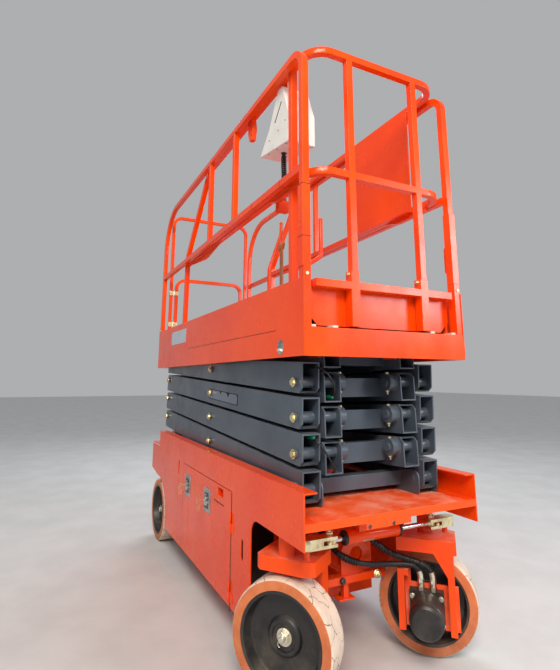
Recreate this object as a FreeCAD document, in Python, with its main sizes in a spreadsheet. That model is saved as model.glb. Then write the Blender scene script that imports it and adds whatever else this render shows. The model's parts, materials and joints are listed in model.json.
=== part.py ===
import FreeCAD, Part
import math
import os
import Sketcher

# Slab scissor lift, in millimetres: +X points to the steered front end, +Y to the machine's own left, +Z up from
# the floor. X is zero half way along the machine. It stands lowered, with its front wheels steered to the left.

SIZES = {
    # chassis
    "chassis_width": 810, "chassis_front": 1199, "chassis_rear": 1200, "side_top": 742, "side_top_rear": 975,
    "rear_block_top": 630, "skirt_bottom": 138, "sheet_wall": 5, "side_flange": 54, "deck_top": 644.5,
    "deck_plate": 8, "deck_lip": 27, "arch_front_top": 558, "arch_front_rear": 750, "arch_corner": 65,
    "rear_arch_gap": 22, "rear_arch_slope": 7.5, "slot_width": 26, "slot_tall": 84,
    "tray_height": 172,
    "door_front": 527, "door_rear": 300, "door_top": 616, "door_gap": 4, "door_wall": 4, "hinge_radius": 5,
    # wheels and steering
    "wheel_radius": 203, "wheel_width": 125, "rim_radius": 168, "rim_dish": 50, "rim_web": 34,
    "seat_gap": 0.3, "front_axle": 955, "rear_axle": 949,
    "wheel_inset": 62, "steer_right": 37, "steer_left": 45, "knuckle_top": 470, "knuckle_deep": 50,
    "knuckle_front": 126, "knuckle_back": 112, "knuckle_out": 44, "knuckle_in": 136, "plate_wall": 10,
    "knuckle_bar": 26, "mount_top": 288, "kingpin_radius": 31, "arm_pin_radius": 12, "steer_arm": 85,
    "motor_reach": 250, "motor_width": 136, "motor_mount": 78, "motor_block": 32, "port_radius": 9,
    "hose_radius": 11,
    "rod_drop": 114.5, "rod_place": 1030, "rod_radius": 10, "barrel_radius": 25, "barrel_half": 126,
    # scissor stack
    "front_pin": 1010, "base_pin_height": 706, "level_step": 135, "pin_span": 2074, "pin_offset": 20,
    "tube_tall": 120, "tube_wide": 80, "tube_wall": 6, "tube_overhang": 52, "tube_chamfer": 20,
    "lane_inset": 111, "lane_step": 101, "pin_radius": 17.5, "pin_clearance": 0.25, "sleeve_radius": 23,
    "boss_radius": 36, "boss_reach": 86, "cross_tall": 80, "cross_deep": 60, "cross_setback": 95,
    "roller_radius": 40, "guide_radius": 34, "roller_gap": 0.3, "lug_wall": 8,
    # lift cylinder
    "lift_base_place": 520, "lift_base_height": 260, "lift_eye_place": -160, "lift_eye_height": -30,
    "lift_barrel_radius": 48, "lift_rod_radius": 27, "lift_eye_radius": 34, "lift_eye_half": 31, "lift_cheek": 38,
    "lift_slot_half": 72, "frame_wall_place": 610, "front_wall_place": 700, "keel_place": 96,
    # platform
    "platform_trim": 5, "platform_front": 1202, "platform_rear": 1205, "platform_bottom": 1206,
    "panel_top": 1497, "beam_top": 1313, "floor_plate": 4, "panel_wall": 4, "access_hole": 29,
    "rail_top": 2488, "rail_spacing": 544, "rail_tube": 30, "socket_tube": 40, "socket_top": 1540,
    "rail_bend": 75, "rear_bend": 315, "sleeve_tube": 38, "sleeve_drop": 76, "inner_rail_gap": 6,
    "grip_radius": 5, "grip_low": 1600, "grip_high": 1716, "gate_hinge_inset": 9,
    # extension deck
    "extension_rear": -640, "extension_floor": 1366, "extension_plate": 4, "toe_setback": 52, "slide_height": 10,
    "guard_lift": 15, "guard_bend": 100, "bracket_wall": 4, "rail_plate": 8,
    "station_drop": 303, "station_wide": 136, "handle_radius": 10, "curl_radius": 12,
}

doc = FreeCAD.newDocument("scissor_lift")
sheet = doc.addObject("Spreadsheet::Sheet", "Sizes")


class Size:
    """A size with its number and the sheet expression that gives it, so that sums of sizes stay bound."""

    def __init__(self, value, text):
        self.value = value
        self.text = text

    def __add__(self, other):
        return joined(self, "+", other, self.value + number(other))

    def __sub__(self, other):
        return joined(self, "-", other, self.value - number(other))

    def __mul__(self, other):
        return joined(self, "*", other, self.value * number(other))

    def __truediv__(self, other):
        return joined(self, "/", other, self.value / number(other))

    def __radd__(self, other):
        return joined(other, "+", self, number(other) + self.value)

    def __rsub__(self, other):
        return joined(other, "-", self, number(other) - self.value)

    def __rmul__(self, other):
        return joined(other, "*", self, number(other) * self.value)

    def __neg__(self):
        return Size(-self.value, f"(0 - {self.text})")


def number(size):
    return size.value if isinstance(size, Size) else float(size)


def text(size):
    return size.text if isinstance(size, Size) else f"({float(size)!r})"


def joined(left, sign, right, value):
    return Size(value, f"({text(left)} {sign} {text(right)})")


def sine(angle):
    return Size(math.sin(math.radians(number(angle))), f"sin({text(angle)})")


def cosine(angle):
    return Size(math.cos(math.radians(number(angle))), f"cos({text(angle)})")


def arcsine(ratio):
    return Size(math.degrees(math.asin(number(ratio))), f"(asin({text(ratio)}) / 1 deg)")


def root(area):
    return Size(math.sqrt(number(area)), f"sqrt({text(area)})")


for row, (alias, amount) in enumerate(SIZES.items(), start=1):
    sheet.set(f"A{row}", alias)
    sheet.set(f"B{row}", str(amount))
    sheet.setAlias(f"B{row}", alias)
doc.recompute()


class Named:
    """Every driving size by its alias."""


S = Named()
for alias in SIZES:
    setattr(S, alias, Size(float(sheet.get(alias)), f"Sizes.{alias}"))

SIDES = {"left": 1, "right": -1}
nodes = []

# Places that several pieces share
wheel_centre = S.chassis_width / 2 - S.wheel_inset
deck_under = S.deck_top - S.deck_plate
rod_height = deck_under - S.rod_drop
outer_lane = S.chassis_width / 2 - S.lane_inset
inner_lane = outer_lane - S.lane_step
half_platform = S.chassis_width / 2 - S.platform_trim
rail_mid = S.rail_top - S.rail_spacing
guard_top = S.rail_top + S.guard_lift
station_low = guard_top - S.station_drop


def node(thing, name):
    """Gives a finished sub-part its name, which is also its file's."""
    thing.Label = name
    nodes.append(thing)
    return thing


def bind(thing, prop, size):
    setattr(thing, prop, number(size))
    thing.setExpression(prop, text(size))


def place(thing, x=0, y=0, z=0):
    for axis, size in zip("xyz", (x, y, z)):
        thing.setExpression(f"Placement.Base.{axis}", text(size))


def box(x, y, z):
    """A block from three (low, high) pairs."""
    thing = doc.addObject("Part::Box", "Block")
    for prop, (low, high) in zip(("Length", "Width", "Height"), (x, y, z)):
        bind(thing, prop, high - low)
    place(thing, x[0], y[0], z[0])
    return thing


AXIS_TURNS = {"X": FreeCAD.Rotation(FreeCAD.Vector(0, 1, 0), 90), "Y": FreeCAD.Rotation(FreeCAD.Vector(1, 0, 0), -90),
              "Z": FreeCAD.Rotation()}


def rod(axis, radius, low, high, x=0, y=0, z=0):
    """A round bar along one axis, from low to high on it."""
    thing = doc.addObject("Part::Cylinder", "Round")
    bind(thing, "Radius", radius)
    bind(thing, "Height", high - low)
    thing.Placement = FreeCAD.Placement(FreeCAD.Vector(), AXIS_TURNS[axis])
    start = {"X": x, "Y": y, "Z": z}
    start[axis] = low
    place(thing, start["X"], start["Y"], start["Z"])
    return thing


def fuse(*things):
    joint = doc.addObject("Part::MultiFuse", "Joined")
    joint.Shapes = list(things)
    return joint


def cut(base, *tools):
    for tool in tools:
        result = doc.addObject("Part::Cut", "Trimmed")
        result.Base = base
        result.Tool = tool
        base = result
    return base


def group(*things):
    """Solids that lie apart but share one node."""
    parts = doc.addObject("Part::Compound", "Set")
    parts.Links = list(things)
    return parts


def mirrored(thing):
    """The same piece on the machine's other side."""
    copy = doc.addObject("Part::Mirroring", "Mirror")
    copy.Source = thing
    copy.Normal = FreeCAD.Vector(0, 1, 0)
    return copy


def new_body():
    return doc.addObject("PartDesign::Body", "Body")


def sketch_on(body, role):
    sketch = body.newObject("Sketcher::SketchObject", "Outline")
    plane = next(f for f in body.Origin.OriginFeatures if f.Role == role)
    sketch.AttachmentSupport = (plane, "")
    sketch.MapMode = "FlatFace"
    return sketch


def bind_point(sketch, geometry, end, x, y):
    for kind, size in (("DistanceX", x), ("DistanceY", y)):
        index = sketch.addConstraint(Sketcher.Constraint(kind, -1, 1, geometry, end, number(size)))
        sketch.setExpression(f"Constraints[{index}]", text(size))


def polygon(sketch, points):
    """A closed outline of straight lines whose corners are bound to the sizes."""
    spots = [FreeCAD.Vector(number(x), number(y), 0) for x, y in points]
    first = len(sketch.Geometry)
    for here, there in zip(spots, spots[1:] + spots[:1]):
        sketch.addGeometry(Part.LineSegment(here, there), False)
    count = len(points)
    for i in range(count):
        sketch.addConstraint(Sketcher.Constraint("Coincident", first + i, 2, first + (i + 1) % count, 1))
    for i, (x, y) in enumerate(points):
        bind_point(sketch, first + i, 1, x, y)


def circle(sketch, x, y, radius):
    index = sketch.addGeometry(Part.Circle(FreeCAD.Vector(number(x), number(y), 0), FreeCAD.Vector(0, 0, 1),
                                           number(radius)), False)
    bind_point(sketch, index, 3, x, y)
    held = sketch.addConstraint(Sketcher.Constraint("Radius", index, number(radius)))
    sketch.setExpression(f"Constraints[{held}]", text(radius))


def pad(body, sketch, length, both_ways=False):
    feature = body.newObject("PartDesign::Pad", "Pad")
    feature.Profile = sketch
    bind(feature, "Length", length)
    feature.Midplane = both_ways
    return feature


def pocket(body, sketch):
    """Cuts the outline right through, to both sides of its plane."""
    feature = body.newObject("PartDesign::Pocket", "Pocket")
    feature.Profile = sketch
    feature.Type = 1
    feature.Midplane = True
    return feature


def rounded(body, edges, radius):
    """Rounds the named edges of the body's last feature."""
    doc.recompute()
    feature = body.newObject("PartDesign::Fillet", "Rounding")
    feature.Base = (body.Group[-2], edges)
    bind(feature, "Radius", radius)
    return feature


def edges_at(feature, spots, reach=1.0):
    """Names of straight edges whose middles pass by the given places in the feature's own plane, X and Z."""
    doc.recompute()
    names = []
    for index, edge in enumerate(feature.Shape.Edges, start=1):
        ends = [v.Point for v in edge.Vertexes]
        across = len(ends) == 2 and abs(ends[0].x - ends[1].x) < reach and abs(ends[0].z - ends[1].z) < reach
        if across and any(math.hypot(ends[0].x - x, ends[0].z - z) < reach for x, z in spots):
            names.append(f"Edge{index}")
    return names


def plate(role, outlines, thick, holes=(), both_ways=False):
    """A flat piece: one outline padded to its thickness, with outlines and circles cut through it."""
    body = new_body()
    sketch = sketch_on(body, role)
    polygon(sketch, outlines)
    pad(body, sketch, thick, both_ways)
    for hole in holes:
        cutter = sketch_on(body, role)
        if len(hole) == 3 and not isinstance(hole[0], tuple):
            circle(cutter, *hole)
        else:
            polygon(cutter, hole)
        pocket(body, cutter)
    return body


def turned_piece(profile):
    """A round piece: its half outline, as (radius, place along Y), turned about the Y axis."""
    body = new_body()
    sketch = sketch_on(body, "XY_Plane")
    polygon(sketch, profile)
    doc.recompute()
    feature = body.newObject("PartDesign::Revolution", "Turned")
    feature.Profile = sketch
    feature.ReferenceAxis = (sketch, ["V_Axis"])
    feature.Angle = 360
    return body


def bent_path(spots, bends):
    """Straight runs through the given places, with an arc of its own radius at each corner between them."""
    edges = []
    start = spots[0]
    for before, corner, after, bend in zip(spots, spots[1:], spots[2:], bends):
        back = (before - corner).normalize()
        ahead = (after - corner).normalize()
        half = back.getAngle(ahead) / 2
        run = bend / math.tan(half)
        enter = corner + back * run
        leave = corner + ahead * run
        middle = corner + (back + ahead).normalize() * (bend / math.sin(half) - bend)
        edges.append(Part.LineSegment(start, enter).toShape())
        edges.append(Part.Arc(enter, middle, leave).toShape())
        start = leave
    edges.append(Part.LineSegment(start, spots[-1]).toShape())
    return Part.Wire(edges)


def vectors(points):
    return [point if isinstance(point, FreeCAD.Vector) else FreeCAD.Vector(*(number(c) for c in point))
            for point in points]


def bent_tube(points, bend, width):
    """A square tube along straight runs with round bends, all in one plane. bend is one radius or a list."""
    spots = vectors(points)
    bends = bend if isinstance(bend, list) else [bend] * (len(points) - 2)
    path = bent_path(spots, [number(size) for size in bends])
    along = (spots[1] - spots[0]).normalize()
    flat = FreeCAD.Vector(0, 1, 0)
    for before, corner, after in zip(spots, spots[1:], spots[2:]):
        normal = (corner - before).cross(after - corner)
        if normal.Length > 1:
            flat = normal.normalize()
    if abs(flat.dot(along)) > 0.9:
        flat = FreeCAD.Vector(1, 0, 0)
    side = along.cross(flat).normalize()
    reach = number(width) / 2
    corners = [spots[0] + flat * (a * reach) + side * (b * reach) for a, b in ((1, 1), (-1, 1), (-1, -1), (1, -1))]
    section = Part.makePolygon(corners + corners[:1])
    thing = doc.addObject("Part::Feature", "Tube")
    thing.Shape = path.makePipeShell([section], True, False)
    return thing


def round_tube(points, bends, radius):
    """A round bar or hose along straight runs joined by arcs."""
    spots = vectors(points)
    along = (spots[1] - spots[0]).normalize()
    section = Part.Wire([Part.Circle(spots[0], along, number(radius)).toShape()])
    thing = doc.addObject("Part::Feature", "Hose")
    thing.Shape = bent_path(spots, bends).makePipeShell([section], True, False)
    return thing


def cord_tube(points, radius):
    """A hose or lead that lies freely: each arc is as large as its two runs leave room for."""
    spots = vectors(points)
    bends = []
    for before, corner, after in zip(spots, spots[1:], spots[2:]):
        half = (before - corner).getAngle(after - corner) / 2
        shorter = min((before - corner).Length, (after - corner).Length)
        bends.append(0.45 * shorter * math.tan(half))
    print("bend radii", [round(bend) for bend in bends], "of a cord", round(2 * number(radius)), "thick")
    return round_tube(points, bends, radius)


# Wheels

web_inside = S.wheel_width / 2 - S.rim_dish - S.rim_web


def wheel(name):
    """Solid tyre on a deeply dished rim, upright at the origin, outer side towards +Y. Returns both."""
    half = S.wheel_width / 2
    shoulder = 9
    tyre = turned_piece([(S.rim_radius, -half), (S.wheel_radius - shoulder, -half), (S.wheel_radius, -half + shoulder),
                         (S.wheel_radius, half - shoulder), (S.wheel_radius - shoulder, half), (S.rim_radius, half)])
    seat = S.rim_radius - 0.3
    dish = half - S.rim_dish
    rim = turned_piece([(0, web_inside), (60, web_inside), (64, dish - 14), (seat - 18, dish - 14), (seat - 10, -half),
                        (seat, -half), (seat, half), (seat - 7, half), (seat - 24, dish), (92, dish), (56, dish + 16),
                        (0, dish + 16)])
    return tyre, rim


def stand_wheel(name, x, y, turn, inside_out):
    """Puts a wheel on its axle, turned about the vertical."""
    for thing, part in zip(wheel(name), ("tyre", "rim")):
        spin = FreeCAD.Rotation(FreeCAD.Vector(0, 0, 1), turn + (180 if inside_out else 0))
        thing.Placement = FreeCAD.Placement(FreeCAD.Vector(), spin)
        place(thing, x, y, S.wheel_radius)
        node(thing, f"{name}_{part}")


for side, sign in SIDES.items():
    steer = number(S.steer_left if sign > 0 else S.steer_right)
    stand_wheel(f"front_{side}", S.front_axle, wheel_centre * sign, steer, sign < 0)
    stand_wheel(f"rear_{side}", -S.rear_axle, wheel_centre * sign, 0, sign < 0)


# Steering knuckles, hub motors and the steering cylinder. Each knuckle is drawn for the left side with its wheel
# straight ahead and the kingpin at the origin, then turned to the steering angle at rest.

def knuckle():
    top = S.knuckle_top
    low = top - S.knuckle_deep
    under = top - S.plate_wall
    wall = S.plate_wall
    back, front, inside, outside = -S.knuckle_back, S.knuckle_front, -S.knuckle_in, S.knuckle_out
    cap = plate("XY_Plane", [(back, inside), (front, inside), (front, outside - 20), (front - 38, outside),
                             (back + 20, outside), (back, outside - 20)], S.knuckle_deep)
    place(cap, 0, 0, low)
    hollow = plate("XY_Plane", [(back + wall, inside + wall), (front - wall, inside + wall),
                                (front - wall, outside - 25), (front - 41, outside - wall),
                                (back + 25, outside - wall), (back + wall, outside - 26)], S.knuckle_deep - wall)
    place(hollow, 0, 0, low)
    mount_y = -S.motor_mount
    mount_low = 122
    bar_front = front - 13
    bar_rear = back + S.knuckle_bar
    mount = plate("XZ_Plane", [(back, mount_low), (front, mount_low), (front, S.mount_top), (bar_front, S.mount_top),
                               (bar_front, under), (back, under)], wall,
                  [[(back + 50, S.mount_top), (bar_front - S.knuckle_bar, S.mount_top),
                    (bar_front - S.knuckle_bar, low + 20), (back + 50, low + 20)]])
    place(mount, 0, mount_y, 0)
    bar_span = (inside, mount_y - wall)
    bars = [box((back, bar_rear), bar_span, (mount_low, top - 122)),
            box((bar_front - S.knuckle_bar, bar_front), bar_span, (mount_low, under)),
            box((bar_rear, bar_rear + 18), bar_span, (top - 144, top - 122))]
    gusset = plate("XZ_Plane", [(35, low), (bar_front - S.knuckle_bar, low), (bar_front - S.knuckle_bar, low - 86)], wall)
    place(gusset, 0, inside + wall, 0)
    kingpin = rod("Z", S.kingpin_radius, under, deck_under - 62)
    arm_pin = rod("Z", S.arm_pin_radius, under, rod_height - 20, S.steer_arm, 8)
    return cut(fuse(cut(cap, hollow), mount, *bars, gusset, kingpin, arm_pin),
               rod("Y", 48, mount_y - 40, mount_y + 40, 0, 0, S.wheel_radius))


def motor():
    """Hydraulic wheel motor: square valve block on the mount plate, stepped round case and two port stubs."""
    face = -S.motor_mount - S.plate_wall
    block_end = face - S.motor_block
    reach = -S.motor_reach
    half = S.motor_width / 2
    block = box((-half, half), (block_end, face), (S.wheel_radius - half, S.wheel_radius + half))
    case = turned_piece([(0, reach), (half - 15, reach), (half - 5, reach + 8), (half - 5, reach + 24),
                         (half - 1, reach + 28), (half - 1, block_end), (0, block_end)])
    place(case, 0, 0, S.wheel_radius)
    ports = [rod("Z", S.port_radius, S.wheel_radius + half, S.wheel_radius + half + PORT_TALL, at, face - PORT_SETBACK)
             for at in PORT_PLACES]
    spindle = rod("Y", 44, face, web_inside - S.seat_gap, 0, 0, S.wheel_radius)
    return fuse(block, case, spindle, *ports)


PORT_PLACES = (-20, 28)
PORT_SETBACK = 22
PORT_TALL = 42
for side, sign in SIDES.items():
    for make, name in ((knuckle, "steering_knuckle"), (motor, "wheel_motor")):
        thing = make() if sign > 0 else mirrored(make())
        steer = S.steer_left if sign > 0 else S.steer_right
        piece = group(thing)
        piece.Placement = FreeCAD.Placement(FreeCAD.Vector(), FreeCAD.Rotation(FreeCAD.Vector(0, 0, 1), number(steer)))
        place(piece, S.front_axle, wheel_centre * sign, 0)
        node(piece, f"{name}_{side}")


def port_top(sign, at):
    """The place of a motor's port at rest, where its hose begins."""
    turn = FreeCAD.Rotation(FreeCAD.Vector(0, 0, 1), number(S.steer_left if sign > 0 else S.steer_right))
    local = FreeCAD.Vector(at, -sign * number(S.motor_mount + S.plate_wall + PORT_SETBACK), 0)
    height = number(S.wheel_radius + S.motor_width / 2 + PORT_TALL + S.seat_gap)
    return turn.multVec(local) + FreeCAD.Vector(number(S.front_axle), number(wheel_centre) * sign, height)


# The hoses' routes from above the ports to the front wall of the frame: x, y and z of each point.
HOSE_ROUTES = (
    ("left", 0, ((1010, 241, 358), (986, 205, 364), (945, 140, 362), (920, 60, 363), (906, -10, 380),
                 (902, -74, 414), (830, -90, 452), (760, -70, 470))),
    ("left", 1, ((1046, 277, 356), (1022, 246, 374), (985, 204, 386), (945, 150, 404), (925, 90, 444),
                 (895, 50, 492), (825, 32, 516), (765, 30, 520))),
    ("right", 0, ((871, -262, 352), (866, -236, 370), (858, -195, 386), (832, -150, 410), (790, -125, 426),
                  (750, -118, 430))),
    ("right", 1, ((909, -234, 352), (900, -207, 370), (880, -165, 388), (840, -122, 402), (795, -86, 410),
                  (750, -70, 410))),
)
wall_face = S.front_wall_place + 10 + S.seat_gap
for side, sign in SIDES.items():
    hoses = []
    for route_side, which, route in HOSE_ROUTES:
        if route_side == side:
            port = port_top(sign, PORT_PLACES[which])
            start = [port, port + FreeCAD.Vector(0, 0, 18)]
            hoses.append(cord_tube(start + list(route) + [(wall_face, route[-1][1], route[-1][2])], S.hose_radius))
    node(group(*hoses), f"motor_hoses_{side}")


def steering_shift():
    """How far the steering rod has moved to the left at rest."""
    return S.steer_arm * (sine(S.steer_left) + sine(S.steer_right)) / 2


YOKE_OFFSET = 8
YOKE_LONG = 118


def yoke(sign):
    """Fork on the rod's end that takes the knuckle's steering pin."""
    shift = steering_shift()
    far = (wheel_centre + YOKE_OFFSET) * sign + shift
    near = far - YOKE_LONG * sign
    low, high = rod_height - 19, rod_height + 19
    body = box((S.rod_place - 25, S.rod_place + 25), (far, near) if sign < 0 else (near, far), (low, high))
    head = rod("Z", 25, low, high, S.rod_place, far)
    gap_low, gap_high = (near - 1, near + 62) if sign > 0 else (near - 62, near + 1)
    slot = box((S.rod_place - 26, S.rod_place + 26), (gap_low, gap_high), (rod_height - 8, rod_height + 8))
    eye_place = near + 24 * sign
    eye = rod("Z", 16, rod_height - 8, rod_height + 8, S.rod_place, eye_place)
    tongue = box((S.rod_place - 12, S.rod_place + 12), (near, eye_place) if sign > 0 else (eye_place, near),
                 (rod_height - 8, rod_height + 8))
    pin = rod("Z", 7, low - 3, high + 12, S.rod_place, eye_place)
    return fuse(cut(fuse(body, head), slot), eye, tongue, pin)


rod_reach = wheel_centre + YOKE_OFFSET - YOKE_LONG
shift = steering_shift()
node(rod("Y", S.rod_radius, -rod_reach + shift, rod_reach + shift, S.rod_place, 0, rod_height), "steering_rod")
node(group(yoke(1), yoke(-1)), "steering_yokes")

barrel_bore = rod("Y", S.rod_radius + S.pin_clearance, -S.barrel_half - 1, S.barrel_half + 1, S.rod_place, 0, rod_height)
foot = box((S.rod_place - 22, S.rod_place + 22), (-75, 75), (rod_height + S.barrel_radius - 6, deck_under))
node(cut(fuse(rod("Y", S.barrel_radius, -S.barrel_half, S.barrel_half, S.rod_place, 0, rod_height), foot), barrel_bore),
     "steering_barrel")


# Chassis

hinge_x = S.door_front - S.door_gap / 2
HINGE_HEIGHTS = (200, 480)


def lane(sign, centre, width):
    """The (low, high) pair across the machine of a piece centred on one side."""
    middle = centre * sign
    return (middle - width / 2, middle + width / 2)


def side_panel(sign):
    """Pressed side sheet with both wheel arches, the door opening, tie slots and an inward top flange."""
    half_width = S.chassis_width / 2
    arch = S.wheel_radius + S.rear_arch_gap
    tilt = S.rear_arch_slope
    bend_x = -S.rear_axle - arch * sine(tilt)
    bend_z = S.wheel_radius + arch * cosine(tilt)
    rear_z = bend_z + (S.chassis_rear + bend_x) * sine(tilt) / cosine(tilt)
    rear = -S.chassis_rear
    outline = [(S.chassis_front, S.arch_front_top), (S.chassis_front, S.side_top), (-S.side_top_rear, S.side_top),
               (-S.side_top_rear, S.rear_block_top), (rear, S.rear_block_top), (rear, rear_z), (bend_x, bend_z),
               (-S.rear_axle, S.wheel_radius), (-S.rear_axle + arch, S.wheel_radius),
               (-S.rear_axle + arch, S.skirt_bottom), (S.arch_front_rear, S.skirt_bottom),
               (S.arch_front_rear, S.arch_front_top)]
    door = [(-S.door_rear, S.skirt_bottom - 1), (S.door_front, S.skirt_bottom - 1), (S.door_front, S.door_top),
            (-S.door_rear, S.door_top)]
    body = plate("XZ_Plane", outline, S.sheet_wall, [door])
    rounded(body, edges_at(body.Group[-1], [(number(S.arch_front_rear), number(S.arch_front_top))]), S.arch_corner)
    wheel_room = sketch_on(body, "XZ_Plane")
    circle(wheel_room, -S.rear_axle, S.wheel_radius, arch)
    pocket(body, wheel_room)
    for x, z in ((658, 408), (-410, 572)):
        half_w, half_t = S.slot_width / 2, (S.slot_tall - S.slot_width) / 2
        slot = sketch_on(body, "XZ_Plane")
        polygon(slot, [(x - half_w, z - half_t), (x + half_w, z - half_t), (x + half_w, z + half_t),
                       (x - half_w, z + half_t)])
        pocket(body, slot)
        for end in (z - half_t, z + half_t):
            round_end = sketch_on(body, "XZ_Plane")
            circle(round_end, x, end, half_w)
            pocket(body, round_end)
    place(body, 0, half_width if sign > 0 else -half_width + S.sheet_wall, 0)
    edge, inner = half_width - S.sheet_wall, half_width - S.side_flange
    span = (inner, edge) if sign > 0 else (-edge, -inner)
    flange = box((-S.side_top_rear, S.chassis_front), span, (S.side_top - S.sheet_wall, S.side_top))
    ledge = box((-S.chassis_rear, S.chassis_front), span, (deck_under, S.deck_top))
    hinge_y = (half_width + S.hinge_radius) * sign
    hinges = []
    for z in HINGE_HEIGHTS:
        hinges.append(rod("Z", S.hinge_radius, z - 40, z, hinge_x, hinge_y))
        hinges.append(box((hinge_x, hinge_x + 34), lane(sign, half_width + 1.5, 3), (z - 40, z)))
        hinges.append(rod("Z", S.hinge_radius / 2, z, z + 40, hinge_x, hinge_y))
    return fuse(body, flange, ledge, *hinges)


for side, sign in SIDES.items():
    node(side_panel(sign), f"side_panel_{side}")


def deck():
    """Top plate of the chassis with its front lip, cylinder tab, kingpin tubes and the lift cylinder's slot."""
    inner = S.chassis_width / 2 - S.side_flange
    low = deck_under
    top = box((-S.chassis_rear, S.chassis_front), (-inner, inner), (low, S.deck_top))
    lip = box((S.chassis_front - S.sheet_wall, S.chassis_front), (-S.chassis_width / 2 + S.sheet_wall,
              S.chassis_width / 2 - S.sheet_wall), (S.deck_top - S.deck_lip, low))
    tab = box((S.chassis_front - S.sheet_wall, S.chassis_front), (-148, 57), (low - 39, S.deck_top - S.deck_lip))
    rear_lip = box((-S.chassis_rear, -S.chassis_rear + S.sheet_wall), (-inner, inner), (low - 200, low))
    slot = box((-170, 575), (-S.lift_slot_half, S.lift_slot_half), (low - 1, S.deck_top + 1))
    tubes = [fuse(rod("Z", S.kingpin_radius + 14, low - 60, low, S.front_axle, wheel_centre * s),
                  box((S.front_axle - 60, S.front_axle + 60), (-inner, -inner + 90) if s < 0 else (inner - 90, inner),
                      (low - 14, low))) for s in (1, -1)]
    return fuse(cut(fuse(top, lip, tab, rear_lip), slot), *tubes)


node(deck(), "chassis_deck")


def frame_rails():
    """Box members under the deck that carry the axles, with the cross walls between the trays."""
    low = S.tray_height
    under = deck_under
    front = S.front_wall_place
    keel = [box((-870, front + 12), lane(s, S.keel_place, 12), (low, under)) for s in (1, -1)]
    half_wall = wheel_centre - S.wheel_width / 2 - 50
    walls = [box((x, x + 10), (-half_wall, half_wall), (low, under)) for x in (-870, S.frame_wall_place, front)]
    ties = [box((front, 870), lane(s, 52, 12), (300, 330)) for s in (1, -1)]
    beam = box((862, 902), (-158, 158), (300, 328))
    hung_plate = box((850, 905), (-76, 0), (240, 246))
    hanger = box((866, 890), (-46, -22), (246, 300))
    lug = plate("YZ_Plane", [(-52, 320), (96, 320), (96, 420), (70, 452), (20, 470), (-30, 452), (-52, 420)], 12,
                [(24, 398, 30)])
    place(lug, 872, 0, 0)
    return fuse(*keel, *walls, *ties, beam, lug, hanger, hung_plate)


node(frame_rails(), "chassis_frame")


def base_mounts():
    """Lugs and pins that hold the front feet of the lowest outer arms, with their cross tube."""
    top = S.base_pin_height + 36
    pieces = []
    for s in (1, -1):
        inner = outer_lane - S.tube_wide / 2 - 14.5
        outer = outer_lane + S.tube_wide / 2 + 8.5
        for at in (inner, outer):
            pieces.append(box((S.front_pin - 42, S.front_pin + 42), lane(s, at + S.lug_wall / 2 - 4, S.lug_wall),
                              (S.deck_top, top)))
        ends = (inner - 6, outer + 6) if s > 0 else (-outer - 6, -inner + 6)
        pieces.append(rod("Y", S.pin_radius, ends[0], ends[1], S.front_pin, 0, S.base_pin_height))
    tie = box((S.front_pin - 125, S.front_pin - 75), (-outer_lane + S.tube_wide / 2 + 10,
              outer_lane - S.tube_wide / 2 - 10), (S.deck_top, S.base_pin_height - 2))
    return fuse(tie, *pieces)


node(base_mounts(), "arm_base_mounts")
track_top = S.base_pin_height - S.roller_radius - S.roller_gap
track_lane = inner_lane + S.tube_wide / 2 + 32
node(group(*[box((-S.chassis_rear + 30, 60), lane(s, track_lane, 50), (S.deck_top, track_top)) for s in (1, -1)]),
     "roller_tracks")


def rear_axles():
    """Stub axles and their plates under the rear end."""
    pieces = []
    for s in (1, -1):
        inner_face = wheel_centre - S.wheel_width / 2 - 24
        span = lane(s, inner_face - 6, 12)
        pieces.append(box((-S.rear_axle - 70, -S.rear_axle + 70), span, (S.wheel_radius - 60, deck_under)))
        stub_end = wheel_centre + web_inside - S.seat_gap
        ends = (inner_face, stub_end) if s > 0 else (-stub_end, -inner_face)
        pieces.append(rod("Y", 28, ends[0], ends[1], -S.rear_axle, 0, S.wheel_radius))
    beam = box((-S.rear_axle - 50, -S.rear_axle + 50), (-wheel_centre + 95, wheel_centre - 95),
               (S.wheel_radius - 40, S.wheel_radius + 60))
    return fuse(beam, *pieces)


node(rear_axles(), "rear_axle")


def ladder():
    """Two-step boarding ladder on the rear end."""
    rear = -S.chassis_rear
    rails = [box((rear - 25, rear + 40), lane(s, 160, 8), (190, deck_under - 200)) for s in (1, -1)]
    steps = [box((rear - 25, rear + 35), (-156, 156), (z, z + 6)) for z in (196, 310, 424)]
    return fuse(*rails, *steps)


node(ladder(), "rear_ladder")


def tray_door(sign):
    """Side door with its turned edges; the tray behind it carries the heavy units."""
    half_width = S.chassis_width / 2
    low, high = S.skirt_bottom, S.door_top - S.door_gap
    rear, front = -S.door_rear + S.door_gap, S.door_front - S.door_gap
    handle = [(335, 563), (415, 563), (415, 600), (335, 600)]
    body = plate("XZ_Plane", [(rear, low), (front, low), (front, high), (rear, high)], S.door_wall, [handle])
    place(body, 0, half_width if sign > 0 else -half_width + S.door_wall, 0)
    deep = 30
    span = (half_width - deep, half_width - S.door_wall) if sign > 0 else (-half_width + S.door_wall, -half_width + deep)
    edges = [box((rear, front), span, (z, z + 4)) for z in (low, high - 4)]
    ends = [box((x, x + 4), span, (low + 4, high - 4)) for x in (rear, front - 4)]
    hinge_y = (half_width + S.hinge_radius) * sign
    knuckles = []
    for z in HINGE_HEIGHTS:
        barrel = rod("Z", S.hinge_radius, z + S.seat_gap, z + 40, hinge_x, hinge_y)
        leaf = box((hinge_x - 34, hinge_x), lane(sign, half_width + 1.5, 3), (z + S.seat_gap, z + 40))
        knuckles.append(cut(fuse(barrel, leaf), rod("Z", S.hinge_radius / 2 + 0.05, z, z + 41, hinge_x, hinge_y)))
    return fuse(body, *edges, *ends, *knuckles)


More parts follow.
